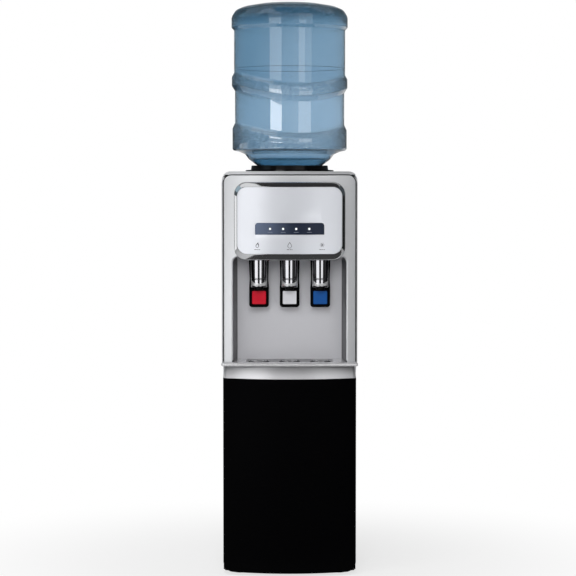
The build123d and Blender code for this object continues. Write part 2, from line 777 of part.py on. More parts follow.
def lever(x):
    """Push lever: a paddle behind the nozzle and two arms up past the cover to the pin."""
    paddle_top = nozzle_bottom + 5.0
    paddle_front = paddle_y - paddle_wall
    with BuildPart() as push:
        with BuildSketch(Plane.YZ.offset(x)):
            with BuildLine():
                Polyline(
                    (pivot_y - 5.5, pivot_z + ear_rise),
                    (tap_y + 4, pivot_z + ear_rise),
                    (tap_y + 6.5, bay_top),
                    (paddle_y, paddle_top + 5),
                    (paddle_y, lever_bottom),
                    (paddle_front, lever_bottom),
                    (paddle_front, paddle_top - 3),
                    (tap_y - 5.5, bay_top),
                    (pivot_y - 5.5, pivot_z - 13),
                    close=True,
                )
            make_face()
        extrude(amount=arm_outer, both=True)
        extrude(slab(x - arm_inner, x + arm_inner, -far, 0, paddle_top), amount=far, mode=Mode.SUBTRACT)
        with BuildSketch(Plane.XZ) as front_view:
            with BuildLine():
                Polyline(
                    (x - paddle_half_width, lever_bottom),
                    (x + paddle_half_width, lever_bottom),
                    (x + paddle_half_width, paddle_top),
                    (x + arm_outer - waist, barrel_bottom),
                    (x + arm_outer, bay_top),
                    (x + arm_outer, pivot_z + 20),
                    (x - arm_outer, pivot_z + 20),
                    (x - arm_outer, bay_top),
                    (x - arm_outer + waist, barrel_bottom),
                    (x - paddle_half_width, paddle_top),
                    close=True,
                )
            make_face()
            fillet(front_view.vertices().group_by(Axis.Y)[0], radius=paddle_corner)
        extrude(amount=far, mode=Mode.INTERSECT)
        for side in (-1, 1):
            with BuildSketch(Plane.YZ.offset(x + side * (stem_radius + tine_gap))):
                with Locations((tap_y, pivot_z)):
                    Circle(tine_radius)
            extrude(amount=side * (arm_inner - stem_radius))
        with BuildSketch(Plane.YZ.offset(x)):
            with Locations((pivot_y, pivot_z)):
                Circle(pin_radius + pin_play)
        extrude(amount=arm_outer + 1, both=True, mode=Mode.SUBTRACT)
    return push.part


def badge(x):
    """Coloured tile on the front of the paddle."""
    with BuildPart() as tile:
        with BuildSketch(Plane.XZ.offset(paddle_wall - paddle_y)):
            with Locations((x, badge_low + badge_height / 2)):
                RectangleRounded(badge_width, badge_height, 2.0)
        extrude(amount=badge_wall)
    return tile.part


def stem(x):
    """Valve stem: plunger over the seat, rod through the barrel and head over the lever's tines."""
    with BuildPart() as rod:
        for z, radius, height in (
            (seat_z + fit, bore_radius - 1.0, 4.0),
            (seat_z + fit, stem_radius, head_bottom - seat_z),
            (head_bottom, stem_head_radius, stem_head),
        ):
            with BuildSketch(Plane.XY.offset(z)):
                with Locations((x, tap_y)):
                    Circle(radius)
            extrude(amount=height)
    return rod.part


def spring(x):
    """Closing spring between the stem's head and the hood, as the sleeve that its coils fill."""
    with BuildPart() as sleeve:
        with BuildSketch(Plane.XY.offset(spring_bottom)):
            with Locations((x, tap_y)):
                Circle(spring_radius)
                Circle(spring_radius - spring_wire, mode=Mode.SUBTRACT)
        extrude(amount=hood_z - spring_bottom)
    return sleeve.part


for water, tap_x in tap_places.items():
    write(tap_body(tap_x), f"tap_body_{water}")
    write(tap_cap(tap_x), f"tap_cap_{water}")
    write(lever(tap_x), f"lever_{water}")
    write(badge(tap_x), f"badge_{water}")
    write(stem(tap_x), f"stem_{water}")
    write(spring(tap_x), f"spring_{water}")

# Lever pins: one through the ears and arms of each tap
with BuildPart() as lever_pins:
    for tap_x in tap_places.values():
        with BuildSketch(Plane.YZ.offset(tap_x)):
            with Locations((pivot_y, pivot_z)):
                Circle(pin_radius)
        extrude(amount=pin_half_length, both=True)
write(lever_pins.part, "lever_pins")

# Bottle seat: flange and collar on the lid, a funnel under the shoulder and a tube round the neck
seat_wall = 3.0
seat_rest = 58.0
rest_width = 4.0
rest_depth = 18.0
funnel_low = 903.0
flange_lip = 3.2
tank_lip_radius = 70.0
lid_clearance = 0.4
skirt_inner = tank_radius + 2.0
skirt_outer = tank_radius + 5.0


def shoulder_z(radius):
    """Height of the bottle's shoulder at a radius inside the collar."""
    return shoulder_top_z - (shoulder_top_radius - radius) * shoulder_slope


seat_axis = Axis((0, bottle_y, 0), (0, 0, 1))
seat_plane = Plane.XZ.offset(-bottle_y)
rest_z = shoulder_z(seat_rest) - fit
with BuildPart() as bottle_seat:
    with BuildSketch(seat_plane):
        with BuildLine():
            Polyline(
                (seat_flange_radius, cabinet_top),
                (lid_hole_radius - lid_clearance, cabinet_top),
                (lid_hole_radius - lid_clearance, cabinet_top - 9),
                (skirt_outer + 3, cabinet_top - 19),
                (skirt_outer, cabinet_top - 23),
                (skirt_outer, tank_top + fit),
                (skirt_inner, tank_top + fit),
                (skirt_inner, cabinet_top - 27),
                (seat_tube_radius + seat_wall + 4, funnel_low - 5),
                (seat_tube_radius + seat_wall, funnel_low - 8),
                (seat_tube_radius + seat_wall, seat_tube_bottom),
                (seat_tube_radius - 3, seat_tube_bottom),
                (seat_tube_radius - 3, seat_tube_bottom + 2),
                (seat_tube_radius, seat_tube_bottom + 2),
                (seat_tube_radius, funnel_low),
                (seat_tube_radius + 5, funnel_low + 7),
                (seat_rest - 2, rest_z - rest_depth),
                (seat_rest, rest_z),
                (seat_rest + rest_width, rest_z),
                (seat_rest + rest_width + 1, cabinet_top - 10),
                (collar_radius - 6, collar_top - 8),
                (collar_radius - 4, collar_top),
                (collar_radius, collar_top),
                (collar_radius + 1.5, cabinet_top + flange_lip + 1),
                (seat_flange_radius, cabinet_top + flange_lip),
                close=True,
            )
        make_face()
    revolve(axis=seat_axis)
write(bottle_seat.part, "bottle_seat")

# Feed probe: ring on the seat's lower ledge with a hollow spike up into the neck
probe_radius = 12.0
probe_bore = 9.0
probe_top = 905.0
probe_tail = 10.0
ring_bottom = seat_tube_bottom + 2.0
ring_wall = 3.0
ring_hole_pitch = 21.5
ring_hole_radius = 4.5
with BuildPart() as feed_probe:
    with BuildSketch(seat_plane):
        with BuildLine():
            Polyline(
                (probe_bore, seat_tube_bottom - probe_tail),
                (probe_radius, seat_tube_bottom - probe_tail),
                (probe_radius, ring_bottom),
                (seat_tube_radius - fit, ring_bottom),
                (seat_tube_radius - fit, ring_bottom + ring_wall),
                (probe_radius, ring_bottom + ring_wall),
                (probe_radius, probe_top - 10),
                (0, probe_top),
                (0, probe_top - 4),
                (probe_bore, probe_top - 12),
                close=True,
            )
        make_face()
    revolve(axis=seat_axis)
    with BuildSketch(Plane.XY.offset(ring_bottom)):
        with Locations((0, bottle_y)):
            with PolarLocations(ring_hole_pitch, 6):
                Circle(ring_hole_radius)
    extrude(amount=ring_wall, mode=Mode.SUBTRACT)
    with BuildSketch(Plane.XZ.offset(-bottle_y)):
        with Locations((0, probe_top - 22)):
            SlotOverall(12, 7, rotation=90)
    extrude(amount=2 * probe_radius, both=True, mode=Mode.SUBTRACT)
write(feed_probe.part, "feed_probe")


mouth_bead = 1.6


def bottle_outline(inset):
    """Profile of the inverted bottle from its base to its mouth, drawn in by inset."""
    base = bottle_top - inset
    corners = [
        (base_radius - 79 + inset, base - base_dish, 8),
        (base_radius - 71 + inset, base, 6),
        (base_radius - 28, base - 7.5, 60),
        (base_radius - 9.5, base - 15.5, 20),
        (base_radius, base - 31, 20),
        (base_radius, body_high + 7, 4),
        (body_radius, body_high, 4),
        (body_radius, band_high + 5, 4),
        (band_radius, band_high, 3),
        (band_radius, band_low, 3),
        (waist_radius, band_low - 6, 4),
        (waist_radius, ring_high + 7, 4),
        (ring_radius, ring_high, 5),
        (ring_radius, ring_low, 6),
        (ring_radius - 17, ring_low - 3.5, 5),
        (ring_radius - 30, ring_low - 9.5, 8),
        (shoulder_top_radius, shoulder_z(shoulder_top_radius), 20),
        (shoulder_low_radius, shoulder_z(shoulder_low_radius), 20),
        (neck_radius + 6.5, neck_top + 12, 10),
        (neck_radius, neck_top, 6),
    ]
    points = [(0, base - base_dish)]
    points += [(radius - inset, z) for radius, z, bend in corners]
    points += [(neck_radius - inset, neck_bottom)]
    bends = [bend for radius, z, bend in corners]
    with BuildSketch(seat_plane) as profile:
        with BuildLine() as line:
            FilletPolyline(*points, radius=bends)
            Polyline(line.line @ 1, (0, neck_bottom), (0, base - base_dish))
        make_face()
    return profile.sketch


with BuildPart() as bottle:
    revolve(bottle_outline(0.0), axis=seat_axis)
    revolve(bottle_outline(bottle_wall), axis=seat_axis, mode=Mode.SUBTRACT)
    with BuildSketch(Plane.XY.offset(neck_bottom)):
        with Locations((0, bottle_y)):
            Circle(neck_radius + mouth_bead)
            Circle(neck_radius - bottle_wall, mode=Mode.SUBTRACT)
    extrude(amount=5.0)
    split(bisect_by=Plane.XY.offset(ring_low + 6), keep=Keep.BOTH)
write(bottle.part, "bottle")

# Hoses: where each one meets its tank, and the runs between
hose_play = 0.3
hole_play = 0.9
room_up = (0.0, -60.0)
cold_up = (38.0, -46.0)
feed_down = (-55.0, 20.0)
feed_z = 562.0
hot_y_run = -20.0
drain_y_run = 118.0
drain_z_run = 505.0
hose_bend = 9.0
feed_reach = sqrt((hot_x - feed_down[0]) ** 2 + (hot_y - feed_down[1]) ** 2)
feed_dir = ((hot_x - feed_down[0]) / feed_reach, (hot_y - feed_down[1]) / feed_reach)
feed_end = (hot_x - feed_dir[0] * (hot_radius + hose_play), hot_y - feed_dir[1] * (hot_radius + hose_play))
spout_front_y = rear_y - 8.0
outlet_radius = hose_radius - 1.5
hose_routes = [
    [(0, spigot_back_y, spigot_z), (room_up[0], room_up[1], spigot_z), (*room_up, tank_bottom)],
    [(tap_pitch, spigot_back_y, spigot_z), (tap_pitch, cold_up[1] - 16, spigot_z), (*cold_up, spigot_z),
     (*cold_up, tank_bottom)],
    [(-tap_pitch, spigot_back_y, spigot_z), (-tap_pitch, hot_y_run, spigot_z), (hot_x, hot_y, spigot_z - 15),
     (hot_x, hot_y, hot_top)],
    [(*feed_down, tank_bottom), (*feed_down, feed_z), (*feed_end, feed_z)],
    [(hot_x, hot_y, hot_bottom), (hot_x, hot_y, drain_z_run), (hot_x, drain_y_run, drain_z_run),
     (drain_x, drain_y_run, drain_z), (drain_x, spout_front_y, drain_z)],
]
with BuildPart() as water_hoses:
    for route_points in hose_routes:
        add(tube(route_points, hose_radius, hose_bend))
write(water_hoses.part, "water_hoses")


def upright_holes(places, radius, z, height):
    """Round plugs at the places, to cut holes with."""
    with BuildPart() as plugs:
        with BuildSketch(Plane.XY.offset(z)):
            with Locations(*places):
                Circle(radius)
        extrude(amount=height)
    return plugs.part


# Cold tank: open steel pot with a rolled lip, three outlets in its floor
tank_wall = 1.0
with BuildPart() as cold_tank:
    with BuildSketch(seat_plane):
        with BuildLine():
            Polyline(
                (0, tank_bottom),
                (tank_radius, tank_bottom),
                (tank_radius, tank_top - 2),
                (tank_lip_radius, tank_top - 2),
                (tank_lip_radius, tank_top),
                (tank_radius - tank_wall, tank_top),
                (tank_radius - tank_wall, tank_bottom + tank_wall),
                (0, tank_bottom + tank_wall),
                close=True,
            )
        make_face()
    revolve(axis=seat_axis)
    outlets = [room_up, cold_up, feed_down]
    add(upright_holes(outlets, outlet_radius, tank_bottom - 1, 3), mode=Mode.SUBTRACT)
write(cold_tank.part, "cold_tank")

# Baffle plate: splits the room water above from the cold water below, on a short tube
baffle_z = 828.0
baffle_tube_radius = 12.0
baffle_wall = 2.0
with BuildPart() as baffle_plate:
    with BuildSketch(seat_plane):
        with BuildLine():
            Polyline(
                (baffle_tube_radius - baffle_wall, tank_bottom + tank_wall + fit),
                (baffle_tube_radius, tank_bottom + tank_wall + fit),
                (baffle_tube_radius, baffle_z),
                (tank_radius - tank_wall - fit, baffle_z),
                (tank_radius - tank_wall - fit, baffle_z + baffle_wall),
                (baffle_tube_radius - baffle_wall, baffle_z + baffle_wall),
                close=True,
            )
        make_face()
    revolve(axis=seat_axis)
    with BuildSketch(Plane.XY.offset(baffle_z)):
        with Locations((0, bottle_y)):
            with PolarLocations(38, 4, start_angle=45):
                Circle(4)
    extrude(amount=baffle_wall, mode=Mode.SUBTRACT)
    with BuildSketch(Plane.XZ.offset(-bottle_y)):
        with Locations((0, tank_bottom + 12)):
            Circle(4)
    extrude(amount=20, both=True, mode=Mode.SUBTRACT)
write(baffle_plate.part, "baffle_plate")

# Evaporator coil: six turns of tube close round the tank, with a stub out of the jacket at each end
coil_turns = 6
coil_pitch = coil_tube - 0.6
coil_low = tank_bottom + 14.0
coil_centre_radius = tank_radius + fit + coil_tube / 2
stub_radius = 3.0
stub_end = jacket_radius + 6.0
with BuildPart() as evaporator_coil:
    with BuildSketch(seat_plane):
        for turn in range(coil_turns):
            with Locations((coil_centre_radius, coil_low + turn * coil_pitch)):
                Circle(coil_tube / 2)
    revolve(axis=seat_axis)
    coil_high = coil_low + (coil_turns - 1) * coil_pitch
    for side, z in ((-1, coil_low), (1, coil_high)):
        with BuildSketch(Plane.YZ.offset(side * coil_centre_radius)):
            with Locations((bottle_y, z)):
                Circle(stub_radius)
        extrude(amount=side * (stub_end - coil_centre_radius))
write(evaporator_coil.part, "evaporator_coil")

# Cold tank jacket: foam shell round tank and coil
with BuildPart() as cold_tank_jacket:
    with BuildSketch(Plane.XY.offset(jacket_bottom)):
        with Locations((0, bottle_y)):
            Circle(jacket_radius)
    extrude(amount=jacket_top - jacket_bottom)
    fillet(cold_tank_jacket.edges().group_by(Axis.Z)[0], radius=6)
    with BuildSketch(Plane.XY.offset(tank_bottom)):
        with Locations((0, bottle_y)):
            Circle(coil_centre_radius + coil_tube / 2 + fit)
    extrude(amount=jacket_top - tank_bottom, mode=Mode.SUBTRACT)
    add(upright_holes(outlets, hose_radius + hole_play, jacket_bottom, 20), mode=Mode.SUBTRACT)
    for side, z in ((-1, coil_low), (1, coil_high)):
        with BuildSketch(Plane.YZ):
            with Locations((bottle_y, z)):
                Circle(stub_radius + hose_play)
        extrude(amount=side * stub_end, mode=Mode.SUBTRACT)
write(cold_tank_jacket.part, "cold_tank_jacket")


notch_x = lead_x - 18.0
notch_y = 102.0


def tank_shelf(z, holes):
    """Folded steel shelf between the side panels, with notched rear corners and round holes."""
    shelf_front = bay_back_y + liner_wall + fit
    shelf_back = flange_y - sheet - fit
    reach = web_inner - 0.2
    fold = 14.0
    plate = 2.0
    with BuildPart() as shelf:
        extrude(slab(-reach, reach, shelf_front, shelf_back, z - plate), amount=plate)
        extrude(slab(-reach, -reach + plate, shelf_front, shelf_back, z - fold), amount=fold)
        extrude(slab(reach - plate, reach, shelf_front, shelf_back, z - fold), amount=fold)
        for x0, x1 in ((notch_x, reach + 1), (-reach - 1, -notch_x)):
            notch = slab(x0, x1, notch_y, shelf_back + 1, z - fold - 1)
            extrude(notch, amount=fold + 2, mode=Mode.SUBTRACT)
        add(upright_holes(holes, hose_radius + 3, z - plate - 1, plate + 2), mode=Mode.SUBTRACT)
    return shelf.part


write(tank_shelf(jacket_bottom, [feed_down]), "cold_tank_shelf")
write(tank_shelf(hot_jacket_bottom, [(hot_x, hot_y)]), "hot_tank_shelf")

# Hot tank: closed steel cylinder with rounded ends
tank_round = 8.0
with BuildPart() as hot_water:
    with BuildSketch(Plane.XY.offset(hot_bottom + tank_wall)):
        with Locations((hot_x, hot_y)):
            Circle(hot_radius - tank_wall)
    extrude(amount=hot_top - hot_bottom - 2 * tank_wall)
    fillet(hot_water.edges().filter_by(GeomType.CIRCLE), radius=tank_round - tank_wall)
with BuildPart() as hot_tank:
    with BuildSketch(Plane.XY.offset(hot_bottom)):
        with Locations((hot_x, hot_y)):
            Circle(hot_radius)
    extrude(amount=hot_top - hot_bottom)
    fillet(hot_tank.edges().filter_by(GeomType.CIRCLE), radius=tank_round)
    add(hot_water.part, mode=Mode.SUBTRACT)
write(hot_tank.part, "hot_tank")

# Band heater: clamp ring round the foot of the hot tank
heater_low = hot_bottom + 34.0
heater_high = heater_low + 32.0
heater_wall = 3.5
with BuildPart() as band_heater:
    with BuildSketch(Plane.XY.offset(heater_low)):
        with Locations((hot_x, hot_y)):
            Circle(hot_radius + hose_play + heater_wall)
            Circle(hot_radius + hose_play, mode=Mode.SUBTRACT)
    extrude(amount=heater_high - heater_low)
    extrude(slab(hot_x - 1.5, hot_x + 1.5, hot_y + hot_radius - 2, hot_y + hot_radius + 10, heater_low),
            amount=heater_high - heater_low, mode=Mode.SUBTRACT)
write(band_heater.part, "band_heater")

# Hot tank jacket: foam shell, its bore wide enough for the heater, the tank held at both ends
with BuildPart() as hot_tank_jacket:
    jacket_height = hot_jacket_top - hot_jacket_bottom
    with BuildSketch(Plane.XY.offset(hot_jacket_bottom)):
        with Locations((hot_x, hot_y)):
            Circle(hot_jacket_radius)
    extrude(amount=jacket_height)
    fillet(hot_tank_jacket.edges().filter_by(GeomType.CIRCLE), radius=5)
    for z0, z1, radius in (
        (hot_bottom, hot_top, hot_radius + hose_play),
        (heater_low - 1, heater_high + 1, hot_radius + heater_wall + 2 * hose_play),
        (hot_jacket_bottom - 1, hot_jacket_top + 1, hose_radius + hose_play),
    ):
        with BuildSketch(Plane.XY.offset(z0)):
            with Locations((hot_x, hot_y)):
                Circle(radius)
        extrude(amount=z1 - z0, mode=Mode.SUBTRACT)
    with BuildSketch(Plane(origin=(hot_x, hot_y, feed_z), z_dir=(-feed_dir[0], -feed_dir[1], 0))):
        Circle(hose_radius + hose_play)
    extrude(amount=hot_jacket_radius + 5, mode=Mode.SUBTRACT)
write(hot_tank_jacket.part, "hot_tank_jacket")

# Compressor: domed can on a foot plate, with its terminal cover
can_width = 148.0
can_depth = 110.0
foot_plate = 3.0
mount_pitch_x = 136.0
mount_pitch_y = 98.0
with BuildPart() as compressor:
    with BuildSketch(Plane.XY.offset(compressor_low)):
        with Locations((0, compressor_y)):
            RectangleRounded(can_width + 16, can_depth + 16, 12)
            with GridLocations(mount_pitch_x, mount_pitch_y, 2, 2):
                Circle(4.5, mode=Mode.SUBTRACT)
    extrude(amount=foot_plate)
    with BuildSketch(Plane.XY.offset(compressor_low + foot_plate)):
        with Locations((0, compressor_y)):
            RectangleRounded(can_width, can_depth, 48)
    extrude(amount=compressor_high - compressor_low - foot_plate)
    fillet(compressor.edges().group_by(Axis.Z)[-1], radius=34)
    with BuildSketch(Plane.YZ.offset(can_width / 2 - 3)):
        with Locations((compressor_y, compressor_low + 70)):
            RectangleRounded(44, 50, 5)
    extrude(amount=22)
write(compressor.part, "compressor")

# Compressor mounts: four rubber grommets on the pan, waisted where the foot plate sits
with BuildPart() as compressor_mounts:
    pan_floor = foot_height + pan_wall
    with BuildSketch(Plane.XY.offset(pan_floor)):
        with Locations((0, compressor_y)):
            with GridLocations(mount_pitch_x, mount_pitch_y, 2, 2):
                Circle(9)
    extrude(amount=compressor_low - pan_floor)
    chamfer(compressor_mounts.edges().group_by(Axis.Z)[-1], length=1.5)
    with BuildSketch(Plane.XY.offset(compressor_low)):
        with Locations((0, compressor_y)):
            with GridLocations(mount_pitch_x, mount_pitch_y, 2, 2):
                Circle(4.2)
    extrude(amount=7)
write(compressor_mounts.part, "compressor_mounts")

# Condenser: one serpentine tube with upright wires on both sides, on four brackets off the rear panel
condenser_end = lead_x - 10.0
wire_pitch = 15.0
wire_overhang = 12.0
bracket_x = 6.5 * wire_pitch
bracket_rows = [0, condenser_runs - 3]
bracket_half = 5.0
bracket_wall = 2.0
with BuildPart() as condenser_pipe:
    with BuildLine() as serpentine:
        bend_radius = condenser_pitch / 2
        start = (condenser_end, condenser_y, condenser_top)
        Line(start, (-condenser_half_width, condenser_y, condenser_top))
        for run in range(1, condenser_runs):
            side = -1 if run % 2 else 1
            upper = condenser_top - (run - 1) * condenser_pitch
            lower = upper - condenser_pitch
            ThreePointArc((side * condenser_half_width, condenser_y, upper),
                          (side * (condenser_half_width + bend_radius), condenser_y, upper - bend_radius),
                          (side * condenser_half_width, condenser_y, lower))
            reach = condenser_half_width if run < condenser_runs - 1 else condenser_end
            Line((side * condenser_half_width, condenser_y, lower), (-side * reach, condenser_y, lower))
    with BuildSketch(Plane(origin=start, z_dir=(1, 0, 0))):
        Circle(condenser_tube / 2)
    sweep()
with BuildPart() as condenser:
    add(condenser_pipe.part)
    wire_reach = condenser_tube / 2 + condenser_wire / 2 + pin_play
    with BuildSketch(Plane.XY.offset(condenser_bottom - wire_overhang)):
        for y in (condenser_y - wire_reach, condenser_y + wire_reach):
            with Locations((0, y)):
                with GridLocations(wire_pitch, 0, 15, 1):
                    Circle(condenser_wire / 2)
    extrude(amount=condenser_top - condenser_bottom + 2 * wire_overhang)
    for row in bracket_rows:
        bracket_z = condenser_top - row * condenser_pitch + condenser_tube / 2 + 0.1
        for x in (-bracket_x, bracket_x):
            extrude(slab(x - bracket_half, x + bracket_half, rear_y, condenser_y, bracket_z),
                    amount=bracket_wall)
write(condenser.part, "condenser")

# Refrigerant lines: discharge and suction at the compressor, liquid line with the filter drier
line_bend = 5.0
outer_y = 118.0
inner_y = 110.0
inner_x = lead_x - 14.0
drier_radius = 9.0
drier_bottom = 85.0
drier_height = 80.0
liquid_low = 60.0
line_end = compressor_high + fit
discharge_z = compressor_high + 12.0
suction_z = compressor_high + 30.0
discharge_at = (40.0, compressor_y + 20.0)
suction_at = (20.0, compressor_y)
line_routes = [
    [(condenser_end + fit, condenser_y, condenser_top), (lead_x, condenser_y, condenser_top),
     (lead_x, outer_y, condenser_top), (lead_x, outer_y, discharge_z), (*discharge_at, discharge_z),
     (*discharge_at, line_end)],
    [(stub_end, bottle_y, coil_high), (inner_x, bottle_y, coil_high), (inner_x, inner_y, coil_high),
     (inner_x, inner_y, suction_z), (*suction_at, suction_z), (*suction_at, line_end)],
    [(-condenser_end - fit, condenser_y, condenser_bottom), (-lead_x, condenser_y, condenser_bottom),
     (-lead_x, outer_y, condenser_bottom), (-lead_x, outer_y, drier_bottom + 5)],
    [(-stub_end, bottle_y, coil_low), (-inner_x, bottle_y, coil_low), (-inner_x, inner_y, coil_low),
     (-inner_x, inner_y, liquid_low), (-lead_x, outer_y, liquid_low), (-lead_x, outer_y, drier_bottom + 5)],
]
with BuildPart() as drier:
    with BuildSketch(Plane.XY.offset(drier_bottom)):
        with Locations((-lead_x, outer_y)):
            Circle(drier_radius)
    extrude(amount=drier_height)
    chamfer(drier.edges().filter_by(GeomType.CIRCLE), length=4)
with BuildPart() as refrigerant_lines:
    for route_points in line_routes:
        add(tube(route_points, line_radius, line_bend))
    add(drier.part)
write(refrigerant_lines.part, "refrigerant_lines")

# Rear services: drain spout and cap, switch frame with two rockers, gland for the supply cord
spout_bore = 4.5
spout_end_y = rear_y + 13.0
with BuildPart() as drain_spout:
    for y, radius, length in (
        (spout_front_y, spout_radius, spout_end_y - spout_front_y),
        (flange_y - fit - 3.0, spout_radius + 5, 3.0),
    ):
        with BuildSketch(Plane.XZ.offset(-y)):
            with Locations((drain_x, drain_z)):
                Circle(radius)
                Circle(spout_bore, mode=Mode.SUBTRACT)
        extrude(amount=-length)
write(drain_spout.part, "drain_spout")

plug_radius = 14.0
plug_low_y = rear_y + 1.0
plug_end = 4.0
grip_radius = 1.6
with BuildPart() as drain_plug:
    with BuildSketch(Plane.XZ.offset(-plug_low_y)):
        with Locations((drain_x, drain_z)):
            Circle(plug_radius)
            with PolarLocations(plug_radius, 16):
                Circle(grip_radius, mode=Mode.SUBTRACT)
    extrude(amount=-(spout_end_y - plug_low_y + plug_end))
    with BuildSketch(Plane.XZ.offset(-plug_low_y)):
        with Locations((drain_x, drain_z)):
            Circle(spout_radius + pin_play)
    extrude(amount=-(spout_end_y - plug_low_y + fit), mode=Mode.SUBTRACT)
write(drain_plug.part, "drain_plug")

rocker_width = 15.0
rocker_height = 19.6
rocker_play = 0.4
rocker_y = rear_y - 1.0
rocker_axle = 1.5
rocker_proud = 5.0
rocker_back = 3.0
rocker_tilt = -8.0
frame_wall = 2.5
frame_depth = 16.0
with BuildPart() as switch_frame:
    with BuildSketch(Plane.XZ.offset(-rear_y)):
        with Locations((switch_x, switch_z)):
            RectangleRounded(frame_width, frame_height, 3)
    extrude(amount=-frame_wall)
    with BuildSketch(Plane.XZ.offset(-rear_y)):
        with Locations((switch_x, switch_z)):
            Rectangle(frame_width - 8.6, frame_height - 4.6)
    extrude(amount=frame_depth)
    with BuildSketch(Plane.XZ.offset(-rear_y - frame_wall)):
        with Locations((switch_x, switch_z)):
            with GridLocations(rocker_pitch, 0, 2, 1):
                Rectangle(rocker_width + 2 * rocker_play, rocker_height + 2.4)
    extrude(amount=frame_wall + frame_depth - 2, mode=Mode.SUBTRACT)
    with BuildSketch(Plane.YZ.offset(switch_x)):
        with Locations((rocker_y, switch_z)):
            Circle(rocker_axle + pin_play)
    extrude(amount=rocker_pitch / 2 + rocker_width / 2 + 2.5, both=True, mode=Mode.SUBTRACT)
write(switch_frame.part, "switch_frame")


def rocker(x):
    """Rocker in its off position: a shallow V on its outer face and an axle stub at each side."""
    half = rocker_height / 2
    tilt = radians(rocker_tilt)
    across = Plane(origin=(x, rocker_y, switch_z), x_dir=(0, cos(tilt), sin(tilt)), z_dir=(1, 0, 0))
    with BuildPart() as key:
        with BuildSketch(across):
            with BuildLine():
                Polyline(
                    (rocker_proud, half),
                    (rocker_proud - 2, 0),
                    (rocker_proud, -half),
                    (-rocker_back, 1 - half),
                    (-rocker_back, half - 1),
                    close=True,
                )
            make_face()
        extrude(amount=rocker_width / 2, both=True)
        with BuildSketch(across):
            Circle(rocker_axle)
        extrude(amount=rocker_width / 2 + 2, both=True)
    return key.part


write(rocker(switch_x - rocker_pitch / 2), "rocker_hot")
write(rocker(switch_x + rocker_pitch / 2), "rocker_cold")

gland_bore = 3.6
with BuildPart() as cord_gland:
    for y, radius, length in (
        (rear_y + 4.0, 10.0, 4.0),
        (rear_y + 4.0, gland_radius, 16.0),
        (flange_y - fit, 10.0, 3.0),
    ):
        with BuildSketch(Plane.XZ.offset(-y)):
            with Locations((gland_x, gland_z)):
                Circle(radius)
                Circle(gland_bore, mode=Mode.SUBTRACT)
        extrude(amount=length)
write(cord_gland.part, "cord_gland")
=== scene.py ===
"""Looks of a top-loading water dispenser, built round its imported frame.

The pieces are worked out in millimetres and made in metres. Finishes, studio and lamps are in metres.
+Z is up and the front faces -Y.
"""

import json
import math

import bmesh
import bpy
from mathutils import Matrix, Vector


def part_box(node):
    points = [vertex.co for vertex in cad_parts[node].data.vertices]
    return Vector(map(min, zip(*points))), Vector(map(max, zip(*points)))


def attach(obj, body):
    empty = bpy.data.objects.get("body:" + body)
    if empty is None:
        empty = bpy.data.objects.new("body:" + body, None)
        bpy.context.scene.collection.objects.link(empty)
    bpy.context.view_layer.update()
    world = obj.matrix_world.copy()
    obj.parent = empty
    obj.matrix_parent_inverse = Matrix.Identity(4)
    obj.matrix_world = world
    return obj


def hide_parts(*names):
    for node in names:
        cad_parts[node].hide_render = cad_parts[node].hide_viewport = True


MM = 0.001

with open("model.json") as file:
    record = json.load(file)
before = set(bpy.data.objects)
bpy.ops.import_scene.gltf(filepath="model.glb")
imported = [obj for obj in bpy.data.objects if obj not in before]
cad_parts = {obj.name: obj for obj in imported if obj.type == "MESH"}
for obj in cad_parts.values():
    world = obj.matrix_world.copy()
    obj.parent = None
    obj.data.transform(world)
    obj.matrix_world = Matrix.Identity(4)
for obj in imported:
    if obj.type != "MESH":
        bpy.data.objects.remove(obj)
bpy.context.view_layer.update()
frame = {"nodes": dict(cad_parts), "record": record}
NODES = frame["nodes"]

# Shape of the front, as the solids have it, in millimetres
FRONT_Y = -153.0
BOW_RADIUS = 370.0
BOTTLE_Y = -3.0
POD_PROUD = 21.7

# Row of four lamps in the pod's window, in millimetres
LAMP_SPACING = 30.0
LAMP_Z = 809.0
LAMP_CORE = 1.1
LAMP_EDGE = 3.3

WHITE = (1.0, 1.0, 1.0)


def bow_y(x, proud=0.0):
    """Y of the bowed front at x, with the surface moved forward by proud."""
    return FRONT_Y + BOW_RADIUS - math.sqrt((BOW_RADIUS + proud) ** 2 - x**2)


class Value:
    """One output in a node tree. Arithmetic on it adds Math nodes."""

    def __init__(self, net, socket):
        self.net = net
        self.socket = socket

    def math(self, operation, *others):
        return self.net.node("ShaderNodeMath", {"operation": operation}, [self, *others])

    def __add__(self, other):
        return self.math("ADD", other)

    def __sub__(self, other):
        return self.math("SUBTRACT", other)

    def __mul__(self, other):
        return self.math("MULTIPLY", other)

    def __rsub__(self, other):
        return self.net.node("ShaderNodeMath", {"operation": "SUBTRACT"}, [other, self])

    __radd__ = __add__
    __rmul__ = __mul__


